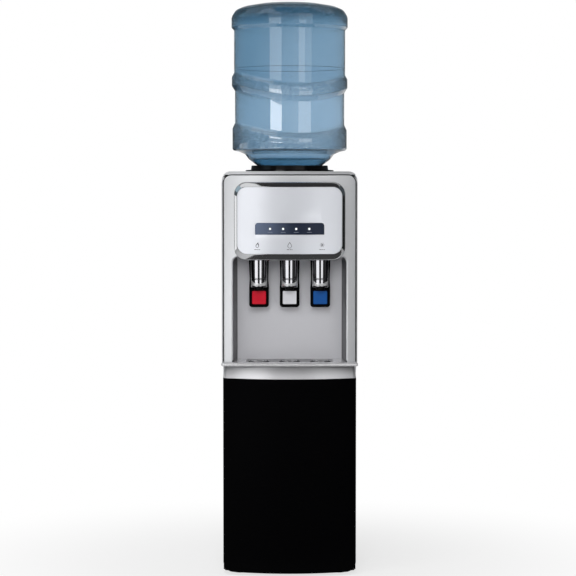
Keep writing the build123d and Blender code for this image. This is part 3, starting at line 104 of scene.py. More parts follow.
class Net:
    """A node tree, with one method that adds any node to it."""

    def __init__(self, tree):
        self.tree = tree

    def put(self, socket, value):
        """Gives a socket a value, or links it to another node's output."""
        if isinstance(value, Value):
            self.tree.links.new(value.socket, socket)
        else:
            socket.default_value = value

    def node(self, kind, settings=None, inputs=(), output=0):
        """Adds a node: its settings first, then the values or links of its sockets."""
        made = self.tree.nodes.new(kind)
        for key, value in (settings or {}).items():
            setattr(made, key, value)
        places = inputs.items() if isinstance(inputs, dict) else enumerate(inputs)
        for key, value in places:
            self.put(made.inputs[key], value)
        return Value(self, made.outputs[output])

    def place(self, stretch=(1, 1, 1)):
        """Object coordinates, stretched."""
        spot = self.node("ShaderNodeTexCoord", output="Object")
        return self.node("ShaderNodeMapping", None, {"Vector": spot, "Scale": stretch})

    def along(self, axis):
        """One object coordinate: 0, 1 or 2 for X, Y or Z."""
        spot = self.node("ShaderNodeTexCoord", output="Object")
        return self.node("ShaderNodeSeparateXYZ", None, [spot], output=axis)

    def noise(self, scale, detail=2.0, stretch=(1, 1, 1)):
        """Soft random pattern of about 1 / scale metres."""
        inputs = {"Vector": self.place(stretch), "Scale": scale, "Detail": detail}
        return self.node("ShaderNodeTexNoise", None, inputs, output="Fac")

    def slope(self, value, low, high, first=0.0, last=1.0):
        """The value's way from low to high, as first to last."""
        inputs = {"Value": value, "From Min": low, "From Max": high, "To Min": first, "To Max": last}
        return self.node("ShaderNodeMapRange", {"interpolation_type": "SMOOTHSTEP"}, inputs)

    def blend(self, amount, first, second):
        """Colour between two colours."""
        inputs = {0: amount, 6: first, 7: second}
        settings = {"data_type": "RGBA", "clamp_factor": True}
        return self.node("ShaderNodeMix", settings, inputs, output=2)

    def painted(self, name):
        """A number that the mesh carries at each point."""
        return self.node("ShaderNodeAttribute", {"attribute_name": name}, output="Fac")

    def relief(self, height, depth):
        """Bump of a height pattern that is depth metres deep."""
        return self.node("ShaderNodeBump", None, {"Strength": 1.0, "Distance": depth, "Height": height})


class Finish(Net):
    """A material round one Principled shader."""

    def __init__(self, name, **settings):
        self.material = bpy.data.materials.new(name)
        self.material.use_nodes = True
        super().__init__(self.material.node_tree)
        self.shader = self.tree.nodes["Principled BSDF"]
        self.use(**settings)

    def use(self, **values):
        """Sets or links the shader's own sockets."""
        for socket, value in values.items():
            self.put(self.shader.inputs[socket.replace("_", " ")], value)
        return self.material


def shade(red, green, blue):
    """Linear colour of a colour given as it looks on a screen, from 0 to 255."""
    def linear(level):
        level /= 255
        return level / 12.92 if level <= 0.04045 else ((level + 0.055) / 1.055) ** 2.4
    return (linear(red), linear(green), linear(blue), 1.0)


def dimmed(colour, factor):
    """The same colour, lighter or darker."""
    return (*(min(1.0, part * factor) for part in colour[:3]), 1.0)


# Finishes

def moulding(name, colour, roughness, grain=900, depth=0.00002, **settings):
    """Moulded plastic or paint: fine grain in its relief, slight clouding of colour and gloss."""
    made = Finish(name, **settings)
    cloud = made.noise(14, 3.0)
    grit = made.noise(grain, 1.0)
    return made.use(
        Base_Color=made.blend(cloud, dimmed(colour, 0.95), dimmed(colour, 1.05)),
        Roughness=roughness - 0.03 + cloud * 0.06 + grit * 0.03,
        Normal=made.relief(grit, depth),
    )


# Dark grey of painted shade
PAINTED_SHADE_COLOUR = (0.03, 0.03, 0.035, 1.0)


def metallic_paint(name, colour, roughness=0.36, metallic=0.75, coat=0.15, painted_shade=None):
    """Silver paint: fine flakes that glitter slightly under a thin clear coat, with painted shade where a
    mask gives it.
    """
    made = Finish(name, Metallic=metallic, Coat_Weight=coat, Coat_Roughness=0.12)
    flakes = made.node("ShaderNodeTexVoronoi", None, {"Vector": made.place(), "Scale": 2600}, "Color")
    flake = made.node("ShaderNodeRGBToBW", None, [flakes])
    cloud = made.noise(8, 2.0)
    paint_colour = made.blend(flake, dimmed(colour, 0.96), dimmed(colour, 1.03))
    # painted shade: the colour blends towards dark grey along one axis
    if painted_shade:
        axis, low, high, share = painted_shade
        place = made.along(axis).math("ABSOLUTE")
        paint_colour = made.blend(made.slope(place, low, high) * share, paint_colour, PAINTED_SHADE_COLOUR)
    return made.use(
        Base_Color=paint_colour,
        Roughness=roughness - 0.03 + flake * 0.04 + cloud * 0.03,
    )


def brushed(name, colour, roughness=0.24, metallic=0.9, coat=0.5):
    """Lacquered brushed silver: fine lines along X."""
    made = Finish(name, Metallic=metallic, Coat_Weight=coat, Coat_Roughness=0.04)
    lines = made.noise(1200, 2.0, stretch=(0.012, 1, 1))
    cloud = made.noise(9, 2.0)
    return made.use(
        Base_Color=made.blend(lines, dimmed(colour, 0.985), dimmed(colour, 0.995)),
        Roughness=roughness + lines * 0.01 + cloud * 0.01,
    )


def plating(name, colour, roughness=0.05):
    """Bright plating with faint wipe marks."""
    made = Finish(name, Metallic=1.0)
    wiped = made.noise(60, 3.0, stretch=(1, 1, 0.2))
    return made.use(
        Base_Color=made.blend(wiped, dimmed(colour, 0.97), dimmed(colour, 1.02)),
        Roughness=roughness + wiped * 0.04,
    )


def sheet_metal(name, colour, roughness=0.4, spangle=70, metallic=0.85):
    """Zinc or stainless sheet with a crystal pattern."""
    made = Finish(name, Metallic=metallic)
    crystal = made.node("ShaderNodeTexVoronoi", None, {"Vector": made.place(), "Scale": spangle}, "Color")
    grey = made.node("ShaderNodeRGBToBW", None, [crystal])
    return made.use(
        Base_Color=made.blend(grey, dimmed(colour, 0.85), dimmed(colour, 1.1)),
        Roughness=roughness - 0.06 + grey * 0.12,
    )


def bead_foam(name, colour):
    """Moulded foam beads."""
    made = Finish(name)
    cells = made.node("ShaderNodeTexVoronoi", None, {"Vector": made.place(), "Scale": 260}, "Distance")
    return made.use(
        Base_Color=made.blend(cells, dimmed(colour, 1.04), dimmed(colour, 0.86)),
        Roughness=0.8 + cells * 0.1,
        Normal=made.relief(1.0 - cells, 0.0006),
    )


def clear_blue(name):
    """Tinted bottle wall: deeper where the plastic is thick and where painted shade darkens its left side,
    pebbled where the mesh says so.
    """
    made = Finish(name, Transmission_Weight=1.0, IOR=1.24, Coat_Weight=1.0, Coat_IOR=1.8, Coat_Roughness=0.02)
    thick_and_shade = made.painted("thick_and_shade")
    pebbles = made.node("ShaderNodeTexVoronoi", None, {"Vector": made.place(), "Scale": 330}, "Distance")
    ripple = made.noise(16, 2.0)
    height = pebbles * made.painted("pebbled") + ripple * 0.5
    mottle = (made.noise(170, 1.0) - 0.5) * made.painted("pebbled") * 1.3
    return made.use(
        Base_Color=made.blend(thick_and_shade + mottle, (0.57, 0.70, 0.81, 1.0), (0.11, 0.30, 0.44, 1.0)),
        Roughness=0.01 + made.painted("pebbled") * 0.05,
        Normal=made.relief(height, 0.0009),
    )


def still_water(name):
    """Water with a faint tint, that hardly bends light within the bottle."""
    made = Finish(name, Transmission_Weight=1.0, IOR=1.0, Roughness=0.0)
    swirl = made.noise(5, 1.0)
    return made.use(Base_Color=made.blend(swirl, (0.90, 0.95, 0.98, 1.0), (0.96, 0.98, 1.0, 1.0)))


def smoked_with_painted_reflection(name):
    """Dark tinted strip with a painted reflection: bluer and lighter towards its left end."""
    made = Finish(name, Coat_Weight=0.3, Coat_Roughness=0.05)
    # painted reflection across the strip
    across = made.slope(made.along(0), -0.08, 0.02)
    return made.use(
        Base_Color=made.blend(across, shade(92, 104, 128), shade(30, 38, 56)),
        Roughness=0.12 + made.noise(30) * 0.05,
    )


def glowing(name, colour, strength):
    """Four light guides in a row, each brightest in its middle."""
    made = Finish(name, Roughness=0.3, Emission_Strength=strength)
    from_pair = (made.along(0).math("ABSOLUTE") - LAMP_SPACING * MM).math("ABSOLUTE")
    across = (from_pair - LAMP_SPACING / 2 * MM).math("ABSOLUTE")
    upward = made.along(2) - LAMP_Z * MM
    away = (across * across + upward * upward).math("SQRT", 0.0)
    middle = made.slope(away, LAMP_CORE * MM, LAMP_EDGE * MM, 1.0, 0.0)
    return made.use(
        Base_Color=made.blend(middle, (0.02, 0.025, 0.04, 1.0), colour),
        Emission_Color=made.blend(middle, (0.0, 0.0, 0.0, 1.0), colour),
    )


SILVER = (0.74, 0.75, 0.77, 1.0)

# Painted shade on some paints: along which axis, at which coordinate that starts and is full, and how much
GRILLE_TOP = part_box("drip_grille")[1][2]
BAY_SIDE_WALL_SHADE = (0, 0.1218, 0.1242, 1.0)
SHADOW_BELOW_TRAY_RIM = (2, 0.4888, 0.4872, 0.95)
GRILLE_SLOT_SHADE = (2, GRILLE_TOP - 0.0004, GRILLE_TOP - 0.0009, 0.97)
SHELF_SHADOW_UNDER_RIM = (2, 0.462, 0.4905, 0.62)

FINISHES = {
    "cabinet_black": moulding("cabinet_black", shade(3, 3, 4), 0.5, Specular_IOR_Level=0.02),
    "side_silver": metallic_paint("side_silver", (0.62, 0.64, 0.66, 1), 0.4, metallic=0.4),
    "rear_sheet": sheet_metal("rear_sheet", (0.6, 0.61, 0.62, 1), 0.42),
    "silver_plastic": metallic_paint("silver_plastic", SILVER, metallic=0.55),
    # bay_grey has painted shade on the bay's side walls
    "bay_grey": metallic_paint("bay_grey", (0.78, 0.78, 0.82, 1), 0.42, metallic=0.35, coat=0.05,
                               painted_shade=BAY_SIDE_WALL_SHADE),
    # tray_silver has a painted shadow below the tray's rim
    "tray_silver": metallic_paint("tray_silver", (0.84, 0.84, 0.86, 1), 0.26, metallic=0.6,
                                  painted_shade=SHADOW_BELOW_TRAY_RIM),
    "bezel_chrome": plating("bezel_chrome", (0.80, 0.81, 0.83, 1)),
    "pod_silver": brushed("pod_silver", (0.76, 0.78, 0.83, 1), 0.27, metallic=0.38, coat=0.08),
    "window_dark": smoked_with_painted_reflection("window_dark"),
    "lamp_white": glowing("lamp_white", (0.9, 0.92, 0.95, 1), 0.7),
    "board_green": moulding("board_green", (0.04, 0.22, 0.10, 1), 0.4),
    "tap_chrome": plating("tap_chrome", (0.20, 0.20, 0.21, 1), 0.03),
    "tap_black": moulding("tap_black", shade(6, 6, 7), 0.35, Specular_IOR_Level=0.1),
    "lever_black": moulding("lever_black", shade(3, 3, 4), 0.3, Specular_IOR_Level=0.05),
    "badge_red": moulding("badge_red", shade(212, 16, 44), 0.35, Specular_IOR_Level=0.25),
    "badge_white": moulding("badge_white", shade(226, 227, 232), 0.3),
    "badge_blue": moulding("badge_blue", shade(12, 84, 160), 0.35, Specular_IOR_Level=0.25),
    "stem_white": moulding("stem_white", (0.78, 0.78, 0.75, 1), 0.45),
    "steel": sheet_metal("steel", (0.62, 0.62, 0.62, 1), 0.28, spangle=300, metallic=1.0),
    "seat_black": moulding("seat_black", shade(2, 2, 3), 0.06, depth=0.000001, Specular_IOR_Level=0.35),
    "bottle_blue": clear_blue("bottle_blue"),
    "tank_white": moulding("tank_white", (0.8, 0.8, 0.8, 1), 0.45),
    "foam": bead_foam("foam", (0.84, 0.83, 0.78, 1)),
    "shelf_steel": sheet_metal("shelf_steel", (0.55, 0.56, 0.57, 1), 0.38),
    "copper_tube": plating("copper_tube", (0.72, 0.38, 0.24, 1), 0.22),
    "hose_clear": moulding("hose_clear", (0.78, 0.8, 0.82, 1), 0.35, Transmission_Weight=0.3),
    "machine_black": moulding("machine_black", shade(16, 16, 17), 0.35, Coat_Weight=0.2),
    "rubber_black": moulding("rubber_black", shade(20, 20, 21), 0.75, Specular_IOR_Level=0.3),
    "service_white": moulding("service_white", (0.74, 0.74, 0.73, 1), 0.4),
    "switch_black": moulding("switch_black", shade(15, 15, 16), 0.4),
    "rocker_red": moulding("rocker_red", (0.58, 0.03, 0.03, 1), 0.25),
    "rocker_green": moulding("rocker_green", (0.03, 0.38, 0.1, 1), 0.25),
}


def coat_node(node, finish):
    """Gives all of a solid one finish."""
    for material_slot in NODES[node].material_slots:
        material_slot.material = finish


for part in frame["record"]["subparts"]:
    coat_node(part["node"], FINISHES[part["material_slot"]])
# painted shade in the grille's slots, below its top
grille_slot_shade_silver = metallic_paint("grille_slot_shade_silver", (0.8, 0.8, 0.82, 1), 0.26, metallic=0.6, painted_shade=GRILLE_SLOT_SHADE)
# painted shadow of the rim on the shelf's front band, darkest just under the rim
shelf_rim_shadow_silver = metallic_paint("shelf_rim_shadow_silver", (0.72, 0.72, 0.74, 1), 0.3, metallic=0.6, painted_shade=SHELF_SHADOW_UNDER_RIM)
coat_node("drip_grille", grille_slot_shade_silver)
coat_node("tray_shelf", shelf_rim_shadow_silver)

print_ink = moulding("print_ink", shade(70, 72, 80), 0.4)
dash_ink = moulding("dash_ink", shade(120, 126, 142), 0.4)
# light silver that paints the floor's reflection on the foot of each tap cover
painted_reflection_lip = metallic_paint("painted_reflection_lip", (0.86, 0.87, 0.88, 1), 0.25, metallic=0.5)
water = still_water("water")
# dark blue of the painted shade line at the water's edge
water_shade_line = moulding("water_shade_line", shade(58, 92, 116), 0.2)


# Meshes

def add_piece(name, points, faces, finish, body, smooth=50):
    """Closed mesh from points in millimetres, shaded smooth up to an angle, riding on a body."""
    mesh = bpy.data.meshes.new(name)
    mesh.from_pydata([Vector(point) * MM for point in points], [], faces)
    work = bmesh.new()
    work.from_mesh(mesh)
    bmesh.ops.remove_doubles(work, verts=work.verts, dist=1e-7)
    bmesh.ops.recalc_face_normals(work, faces=work.faces)
    for edge in work.edges:
        edge.smooth = edge.calc_face_angle(3.0) < math.radians(smooth)
    for face in work.faces:
        face.smooth = True
    work.to_mesh(mesh)
    work.free()
    mesh.materials.append(finish)
    piece = bpy.data.objects.new(name, mesh)
    bpy.context.scene.collection.objects.link(piece)
    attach(piece, body)
    return piece


def skin(loops, wrap=False):
    """Faces between loops that have the same number of points: capped at both ends, or wrapped round."""
    count = len(loops[0])
    points = [point for loop in loops for point in loop]
    faces = []
    for row in range(len(loops) if wrap else len(loops) - 1):
        here = row * count
        there = (row + 1) % len(loops) * count
        for step in range(count):
            after = (step + 1) % count
            faces.append((here + step, here + after, there + after, there + step))
    if not wrap:
        faces.append(tuple(range(count)))
        faces.append(tuple(range(len(points) - count, len(points))))
    return points, faces


def rounded_rectangle(half, low, high, radius, side_steps=48, corner_steps=10):
    """Front view outline with evenly split sides, so that it can follow the bow."""
    outline = []
    corners = [(half, low, -90), (half, high, 0), (-half, high, 90), (-half, low, 180)]
    for x, z, start in corners:
        inside = (x - math.copysign(radius, x), z + (radius if z == low else -radius))
        for step in range(corner_steps + 1):
            turn = math.radians(start + 90 * step / corner_steps)
            outline.append((inside[0] + radius * math.cos(turn), inside[1] + radius * math.sin(turn)))
    dense = []
    for here, there in zip(outline, outline[1:] + outline[:1]):
        steps = side_steps if math.dist(here, there) > 2 * radius else 1
        for step in range(steps):
            share = step / steps
            dense.append((here[0] + (there[0] - here[0]) * share, here[1] + (there[1] - here[1]) * share))
    return dense


def bowed_plate(name, outlines, proud, thickness, bevel, finish, body="cabinet"):
    """Plate on the bowed front, from its front view outlines in millimetres: the first is its edge."""
    curve = bpy.data.curves.new(name + "_outline", "CURVE")
    curve.dimensions = "2D"
    curve.fill_mode = "BOTH"
    curve.extrude = thickness / 2 - bevel
    curve.bevel_depth = bevel
    curve.bevel_resolution = 3
    curve.offset = -bevel
    for outline in outlines:
        spline = curve.splines.new("POLY")
        spline.points.add(len(outline) - 1)
        for point, (x, z) in zip(spline.points, outline):
            point.co = (x, z, 0, 1)
        spline.use_cyclic_u = True
    stencil = bpy.data.objects.new(name + "_outline", curve)
    bpy.context.scene.collection.objects.link(stencil)
    mesh = bpy.data.meshes.new_from_object(stencil)
    work = bmesh.new()
    work.from_mesh(mesh)
    bpy.data.objects.remove(stencil)
    bmesh.ops.remove_doubles(work, verts=work.verts, dist=1e-4)
    low = min(vertex.co.x for vertex in work.verts)
    high = max(vertex.co.x for vertex in work.verts)
    cuts = int((high - low) / 4)
    for cut in range(1, cuts + 1):
        place = low + (high - low) * cut / (cuts + 1)
        every = work.verts[:] + work.edges[:] + work.faces[:]
        bmesh.ops.bisect_plane(work, geom=every, dist=1e-5, plane_co=(place, 0, 0), plane_no=(1, 0, 0))
    work.verts.index_update()
    points = []
    for vertex in work.verts:
        x, z, rise = vertex.co
        points.append((x, bow_y(x, proud - thickness / 2 + rise), z))
    faces = [tuple(vertex.index for vertex in face.verts) for face in work.faces]
    work.free()
    bpy.data.meshes.remove(mesh)
    return add_piece(name, points, faces, finish, body, smooth=40)


# Bottle

WALL = 2.0
WAVE_TURN = math.radians(10)
TILT = 0.18
BASE_Z = 1321.5
BASE_RINGS = (20, 40)
BAND = 1138.5
RING = 1029.0
BAND_WAVE = 13
RING_WAVE = 12
NECK_RADIUS = 27.5
MOUTH_Z = 852
# radius, height, bend and the height of the wave that the edge follows round the bottle
BOTTLE_CORNERS = [
    (58, BASE_Z, 8, 0),
    (66, 1335.5, 6, 0),
    (109, 1328, 60, 0),
    (127.5, 1320, 20, 0),
    (137, 1304.5, 20, 0),
    (137, 1280, 4, 0),
    (131, 1273, 4, 0),
    (131, BAND + 20, 5, BAND_WAVE),
    (136.5, BAND + 10, 5, BAND_WAVE),
    (136.5, BAND - 10, 5, BAND_WAVE),
    (129, BAND - 22, 6, BAND_WAVE),
    (129, RING + 13, 5, RING_WAVE),
    (135, RING, 6, RING_WAVE),
    (135, 991, 6, 0),
    (118, 987.5, 5, 0),
    (105, 981.5, 8, 0),
    (96, 969.5, 20, 0),
    (50, 935, 20, 0),
    (34, 917, 10, 0),
    (NECK_RADIUS, 905, 6, 0),
]
BEND_STEPS = 6


def wave_round(angle):
    """The wave of band and ring at an angle round the bottle: lowest near the front, about -1 to 1."""
    return -math.cos(2 * (angle - WAVE_TURN)) - TILT * math.sin(angle)


def bottle_profile(angle, inset):
    """Profile of the bottle at an angle round it, drawn in by inset: (radius, height) from base to mouth."""
    wave = wave_round(angle)
    line = [Vector((0, BASE_Z))]
    line += [Vector((radius, z + rise * wave)) for radius, z, bend, rise in BOTTLE_CORNERS]
    line.append(Vector((NECK_RADIUS, MOUTH_Z)))
    profile = [line[0], *(Vector((radius, BASE_Z)) for radius in BASE_RINGS)]
    for index, (radius, z, bend, rise) in enumerate(BOTTLE_CORNERS, 1):
        before = line[index - 1] - line[index]
        after = line[index + 1] - line[index]
        turn = math.pi - before.angle(after)
        reach = min(bend * math.tan(turn / 2), before.length * 0.48, after.length * 0.48)
        first = line[index] + before.normalized() * reach
        last = line[index] + after.normalized() * reach
        pull = math.cos(turn / 2)
        for step in range(BEND_STEPS + 1):
            share = step / BEND_STEPS
            weights = ((1 - share) ** 2, 2 * share * (1 - share) * pull, share**2)
            point = first * weights[0] + line[index] * weights[1] + last * weights[2]
            profile.append(point / sum(weights))
    profile.append(line[-1])
    drawn_in = []
    for index, point in enumerate(profile):
        ahead = profile[min(index + 1, len(profile) - 1)] - profile[max(index - 1, 0)]
        side = Vector((ahead.y, -ahead.x)).normalized()
        drawn_in.append(point + side * inset)
    drawn_in[0].x = 0.0
    drawn_in[-1].y = MOUTH_Z
    return drawn_in


def round_bottle(profile_at, turns=192):
    """Loops round the bottle's axis, one for each point of the profile."""
    angles = [2 * math.pi * turn / turns for turn in range(turns)]
    profiles = [profile_at(angle) for angle in angles]
    loops = []
    for station in range(len(profiles[0])):
        loop = []
        for angle, profile in zip(angles, profiles):
            radius, z = profile[station]
            loop.append((radius * math.sin(angle), BOTTLE_Y - radius * math.cos(angle), z))
        loops.append(loop)
    return loops


def paint(piece, name, level_at):
    """Gives each point of a mesh a number, from its place in millimetres."""
    layer = piece.data.attributes.new(name, "FLOAT", "POINT")
    layer.data.foreach_set("value", [level_at(vertex.co / MM) for vertex in piece.data.vertices])


def ramp(value, low, high):
    """0 below low, 1 above high."""
    share = min(1.0, max(0.0, (value - low) / (high - low)))
    return share * share * (3 - 2 * share)


def wave_at(point):
    """The wave at a point of the bottle."""
    return wave_round(math.atan2(point.x, BOTTLE_Y - point.y))


def pebbled_at(point):
    """1 on the base, the middle band and the lower ring, 0 on the plain walls."""
    wave = wave_at(point)
    dome = ramp(point.z, 1285, 1310)
    band = 1 - ramp(abs(point.z - BAND - BAND_WAVE * wave), 10, 16)
    ring = (1 - ramp(point.z - RING - RING_WAVE * wave, 0, 8)) * ramp(point.z, 984, 996)
    return max(dome, band, ring)


def thick_and_shade_at(point):
    """1 where the plastic is thickest and bluest; painted shade raises it on the left side and lowers it on
    the right.
    """
    body = 0.1 + ramp(point.z, 1110, 1170) * 0.26
    dome = ramp(point.z, 1262, 1322) * 0.9
    shoulder = (1 - ramp(point.z, 955, 992)) * 0.92
    # painted shade: darker and bluer on the left side, lighter on the right
    return max(0.0, max(body, dome, shoulder) - point.x * (0.0017 if point.x < 0 else 0.0008))


def make_bottle():
    """The bottle: outer wall from the base to the mouth, then the inner wall back to the base."""
    outer = round_bottle(lambda angle: bottle_profile(angle, 0.0))
    inner = round_bottle(lambda angle: bottle_profile(angle, WALL))
    loops = outer + inner[::-1]
    shell = add_piece("bottle_shell", *skin(loops[1:-1]), FINISHES["bottle_blue"], "bottle", smooth=60)
    paint(shell, "pebbled", pebbled_at)
    paint(shell, "thick_and_shade", thick_and_shade_at)
    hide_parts("bottle")


WATER_LEVEL = 1183.0
WATER_GAP = 0.1
WATER_FOOT = (20.0, 912.0)
BENDS_ABOVE_WATER = 7
EDGE_RADIUS = 0.5
EDGE_INSET = 0.7
# the point of the bottle's profile that is the first one below the water's level
FIRST_WET = 1 + len(BASE_RINGS) + BENDS_ABOVE_WATER * (BEND_STEPS + 1)


def water_profile(angle):
    """Profile of the water at an angle round the bottle, from its level down into the neck."""
    wall = bottle_profile(angle, WALL + WATER_GAP)
    edge = wall[FIRST_WET][0]
    surface = [(edge - 12, WATER_LEVEL), (edge, WATER_LEVEL)]
    return [*surface, *wall[FIRST_WET:-BEND_STEPS - 2], WATER_FOOT]


def edge_profile(angle):
    """Section of the ring where the water's surface meets the bottle."""
    middle = bottle_profile(angle, WALL + WATER_GAP)[FIRST_WET][0] - EDGE_INSET
    turns = [math.pi * step / 4 for step in range(8)]
    return [(middle + EDGE_RADIUS * math.cos(turn), WATER_LEVEL + EDGE_INSET + EDGE_RADIUS * math.sin(turn))
            for turn in turns]


def make_water():
    """The water in the bottle, from the neck to its level, and a dark ring round its surface that paints the
    shade line where the water meets the wall.
    """
    body = add_piece("bottle_water", *skin(round_bottle(water_profile)), water, "bottle", smooth=60)
    loops = round_bottle(edge_profile)
    line = add_piece("water_edge_shade_ring", *skin(loops, wrap=True), water_shade_line, "bottle", smooth=60)


make_bottle()
make_water()

# Control pod
POD_HALF = 128.5
POD_LOW = 736.5
POD_HIGH = 916.5
POD_CORNER = 29.0
# how much faster than at its sides the bezel narrows below and above the face
INWARD_BELOW = 2.02
INWARD_ABOVE = 1.6
# how far each ring of the bezel stands in from the pod's edge, and how far forward
BEZEL_RINGS = [(0.0, 0.05), (0.0, 12.0), (0.5, 13.9), (1.3, 15.4), (2.3, 16.6), (6.2, 20.8), (6.8, 21.25),
               (7.1, 21.4), (7.15, 21.1), (7.15, 0.05)]


def make_bezel():
    """Chrome frame of the pod, rolled over towards the face, wider above the face and widest below it."""
    loops = []
    for inset, proud in BEZEL_RINGS:
        outline = rounded_rectangle(POD_HALF - inset, POD_LOW + INWARD_BELOW * inset,
                                    POD_HIGH - INWARD_ABOVE * inset, POD_CORNER - inset)
        loops.append([(x, bow_y(x, proud), z) for x, z in outline])
    chrome = FINISHES["bezel_chrome"]
    bezel = add_piece("control_pod_bezel", *skin(loops, wrap=True), chrome, "cabinet", smooth=60)
    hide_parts("pod_bezel")


def window_outline(half, low, high, top_corner):
    """Outline with square lower corners and round upper ones."""
    outline = [(-half, low), (half, low)]
    for side in (1, -1):
        for step in range(9):
            turn = math.radians(90 * step / 8)
            across, up = (math.cos(turn), math.sin(turn)) if side == 1 else (math.sin(turn), math.cos(turn))
            x = side * (half - top_corner + top_corner * across)
            outline.append((x, high - top_corner + top_corner * up))
    return outline


FACE_HALF = 121.1
FACE_LOW = 751.2
FACE_HIGH = 904.8
FACE_CORNER = 22.0
WINDOW_HALF = 79.5
WINDOW_LOW = 795.7
WINDOW_HIGH = 822.7
WINDOW_CORNER = 7.0


def make_face():
    """Face of the pod with the lamp window in it."""
    edge = rounded_rectangle(FACE_HALF, FACE_LOW, FACE_HIGH, FACE_CORNER, side_steps=1)
    pocket = window_outline(WINDOW_HALF, WINDOW_LOW, WINDOW_HIGH, WINDOW_CORNER)
    face = bowed_plate("control_pod_face", [edge, pocket], POD_PROUD, 3.0, 0.5, FINISHES["pod_silver"])
    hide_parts("pod_face")


def stroke(start, end, width):
    """Outline of a straight line with a width."""
    along = (Vector(end) - Vector(start)).normalized() * width / 2
    side = Vector((-along.y, along.x))
    corners = [Vector(start) - side, Vector(end) - side, Vector(end) + side, Vector(start) + side]
    return [tuple(corner) for corner in corners]


def drop_outline(centre, width, height, lean=0.0):
    """Outline of a drop or flame: round below, pointed above, its tip leaning to one side."""
    outline = []
    for step in range(28):
        turn = 2 * math.pi * step / 28 - math.pi / 2
        share = (math.sin(turn) + 1) / 2
        across = width / 2 * math.cos(turn) * (1 - share**2.2)
        outline.append((centre[0] + across + lean * share**2, centre[1] + height * (share - 0.5)))
    return outline


INK = 0.05
INK_PROUD = POD_PROUD + INK
MARK_X = 74.5
MARK_Z = 772.0
BAR_Z = 761.5
BAR_HEIGHT = 1.3
# from and to where each bar under a mark runs, from the mark's middle
BARS = ((-6.5, -1.0), (0.2, 3.0), (4.2, 6.5))
FLAKE_REACH = 5.5
FLAKE_WIDTH = 1.1
DASH_Z = 801.2
DASH_HALF = 5.5
DASH_HEIGHT = 0.9
DASH_PROUD = 21.6


def make_print(name, outlines):
    """Printed mark on the face."""
    mark = bowed_plate(name, outlines, INK_PROUD, 2 * INK, 0.0, print_ink)


def make_prints():
    """Marks under the lamps: a flame, a drop and a snowflake, each over a short bar."""
    for water_name, x in (("hot", -MARK_X), ("room", 0.0), ("cold", MARK_X)):
        if water_name == "hot":
            marks = [[drop_outline((x, MARK_Z), 9, 13, 2.0), drop_outline((x, MARK_Z - 1.5), 6, 8, 1.2)]]
        elif water_name == "room":
            marks = [[drop_outline((x, MARK_Z), 11, 15), drop_outline((x, MARK_Z - 0.6), 8.6, 12)]]
        else:
            marks = []
            for turn in (0, 60, 120):
                reach = Vector((math.cos(math.radians(turn)), math.sin(math.radians(turn)))) * FLAKE_REACH
                centre = Vector((x, MARK_Z))
                marks.append([stroke(centre - reach, centre + reach, FLAKE_WIDTH)])
        for number, outlines in enumerate(marks):
            make_print(f"print_{water_name}_{number}", outlines)
        for bar, (start, end) in enumerate(BARS):
            outline = stroke((x + start, BAR_Z), (x + end, BAR_Z), BAR_HEIGHT)
            make_print(f"print_bar_{water_name}_{bar}", [outline])


def make_dashes():
    """Short printed bars under the lamps, on the window."""
    for number in range(4):
        x = (number - 1.5) * LAMP_SPACING
        outline = stroke((x - DASH_HALF, DASH_Z), (x + DASH_HALF, DASH_Z), DASH_HEIGHT)
        dash = bowed_plate(f"lamp_dash_{number}", [outline], DASH_PROUD, 2 * INK, 0.0, dash_ink)


make_bezel()
make_face()
make_dashes()
make_prints()

# Taps
TAPS = {"hot": -71.5, "room": 0.0, "cold": 71.5}
TAP_Y = -106.0
TAP_TAPER = math.radians(1.0)
CAP_HALF = 18.5
CAP_BACK = TAP_Y + 16.6
CAP_CORNER = 4.0
CAP_WALL = 1.6
CAP_TOP = 744.0
CAP_FOOT = 673.0
ROUND_STEPS = 48
CORNER_STEPS = 6
# height and inset of each ring of the cover, from its top past the groove to its foot
CAP_RINGS = [(CAP_TOP, 0.0), (693.4, 0.0), (692.8, 0.0), (692.3, 0.15), (691.8, 0.9), (690.8, 0.9),
             (690.4, 0.15), (690.0, 0.0), (689.4, 0.0), (674.8, 0.0), (674.0, 0.0), (673.2, 0.3),
             (CAP_FOOT, 0.7)]
LIP_FOOT = 675.6
LIP_MIDDLE_Z = 681.0
LIP_RISE = 8.0
# the place whose taper the upper edge of the lip takes
LIP_TAPER_Z = 682.0
LIP_PROUD = -0.5
LIP_INSIDE = 0.3


def cap_loop(x, z, inset, wall=0.0):
    """Outline of a tap's cover at a height: round in front, flat at the back, narrower lower down."""
    shrink = (CAP_TOP - z) * math.tan(TAP_TAPER) + inset + wall
    half = CAP_HALF - shrink
    loop = []
    for step in range(ROUND_STEPS + 1):
        turn = math.pi * step / ROUND_STEPS
        loop.append((x - half * math.cos(turn), TAP_Y - half * math.sin(turn), z))
    straight = half - CAP_CORNER
    back = CAP_BACK - shrink - CAP_CORNER
    for side in (1, -1):
        for step in range(CORNER_STEPS + 1):
            turn = math.radians(90 * step / CORNER_STEPS)
            across, deep = (math.cos(turn), math.sin(turn)) if side == 1 else (math.sin(turn), math.cos(turn))
            loop.append((x + side * (straight + CAP_CORNER * across), back + CAP_CORNER * deep, z))
    return loop


def make_cover(water_name, x):
    """A tap's bright cover with a groove above its lower edge."""
    outside = [cap_loop(x, z, inset) for z, inset in CAP_RINGS]
    inside = [cap_loop(x, z, 0.0, CAP_WALL) for z in (CAP_FOOT, CAP_TOP)]
    shell = skin(outside + inside, wrap=True)
    cover = add_piece(f"tap_cover_{water_name}", *shell, FINISHES["tap_chrome"], "cabinet")
    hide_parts(f"tap_cap_{water_name}")


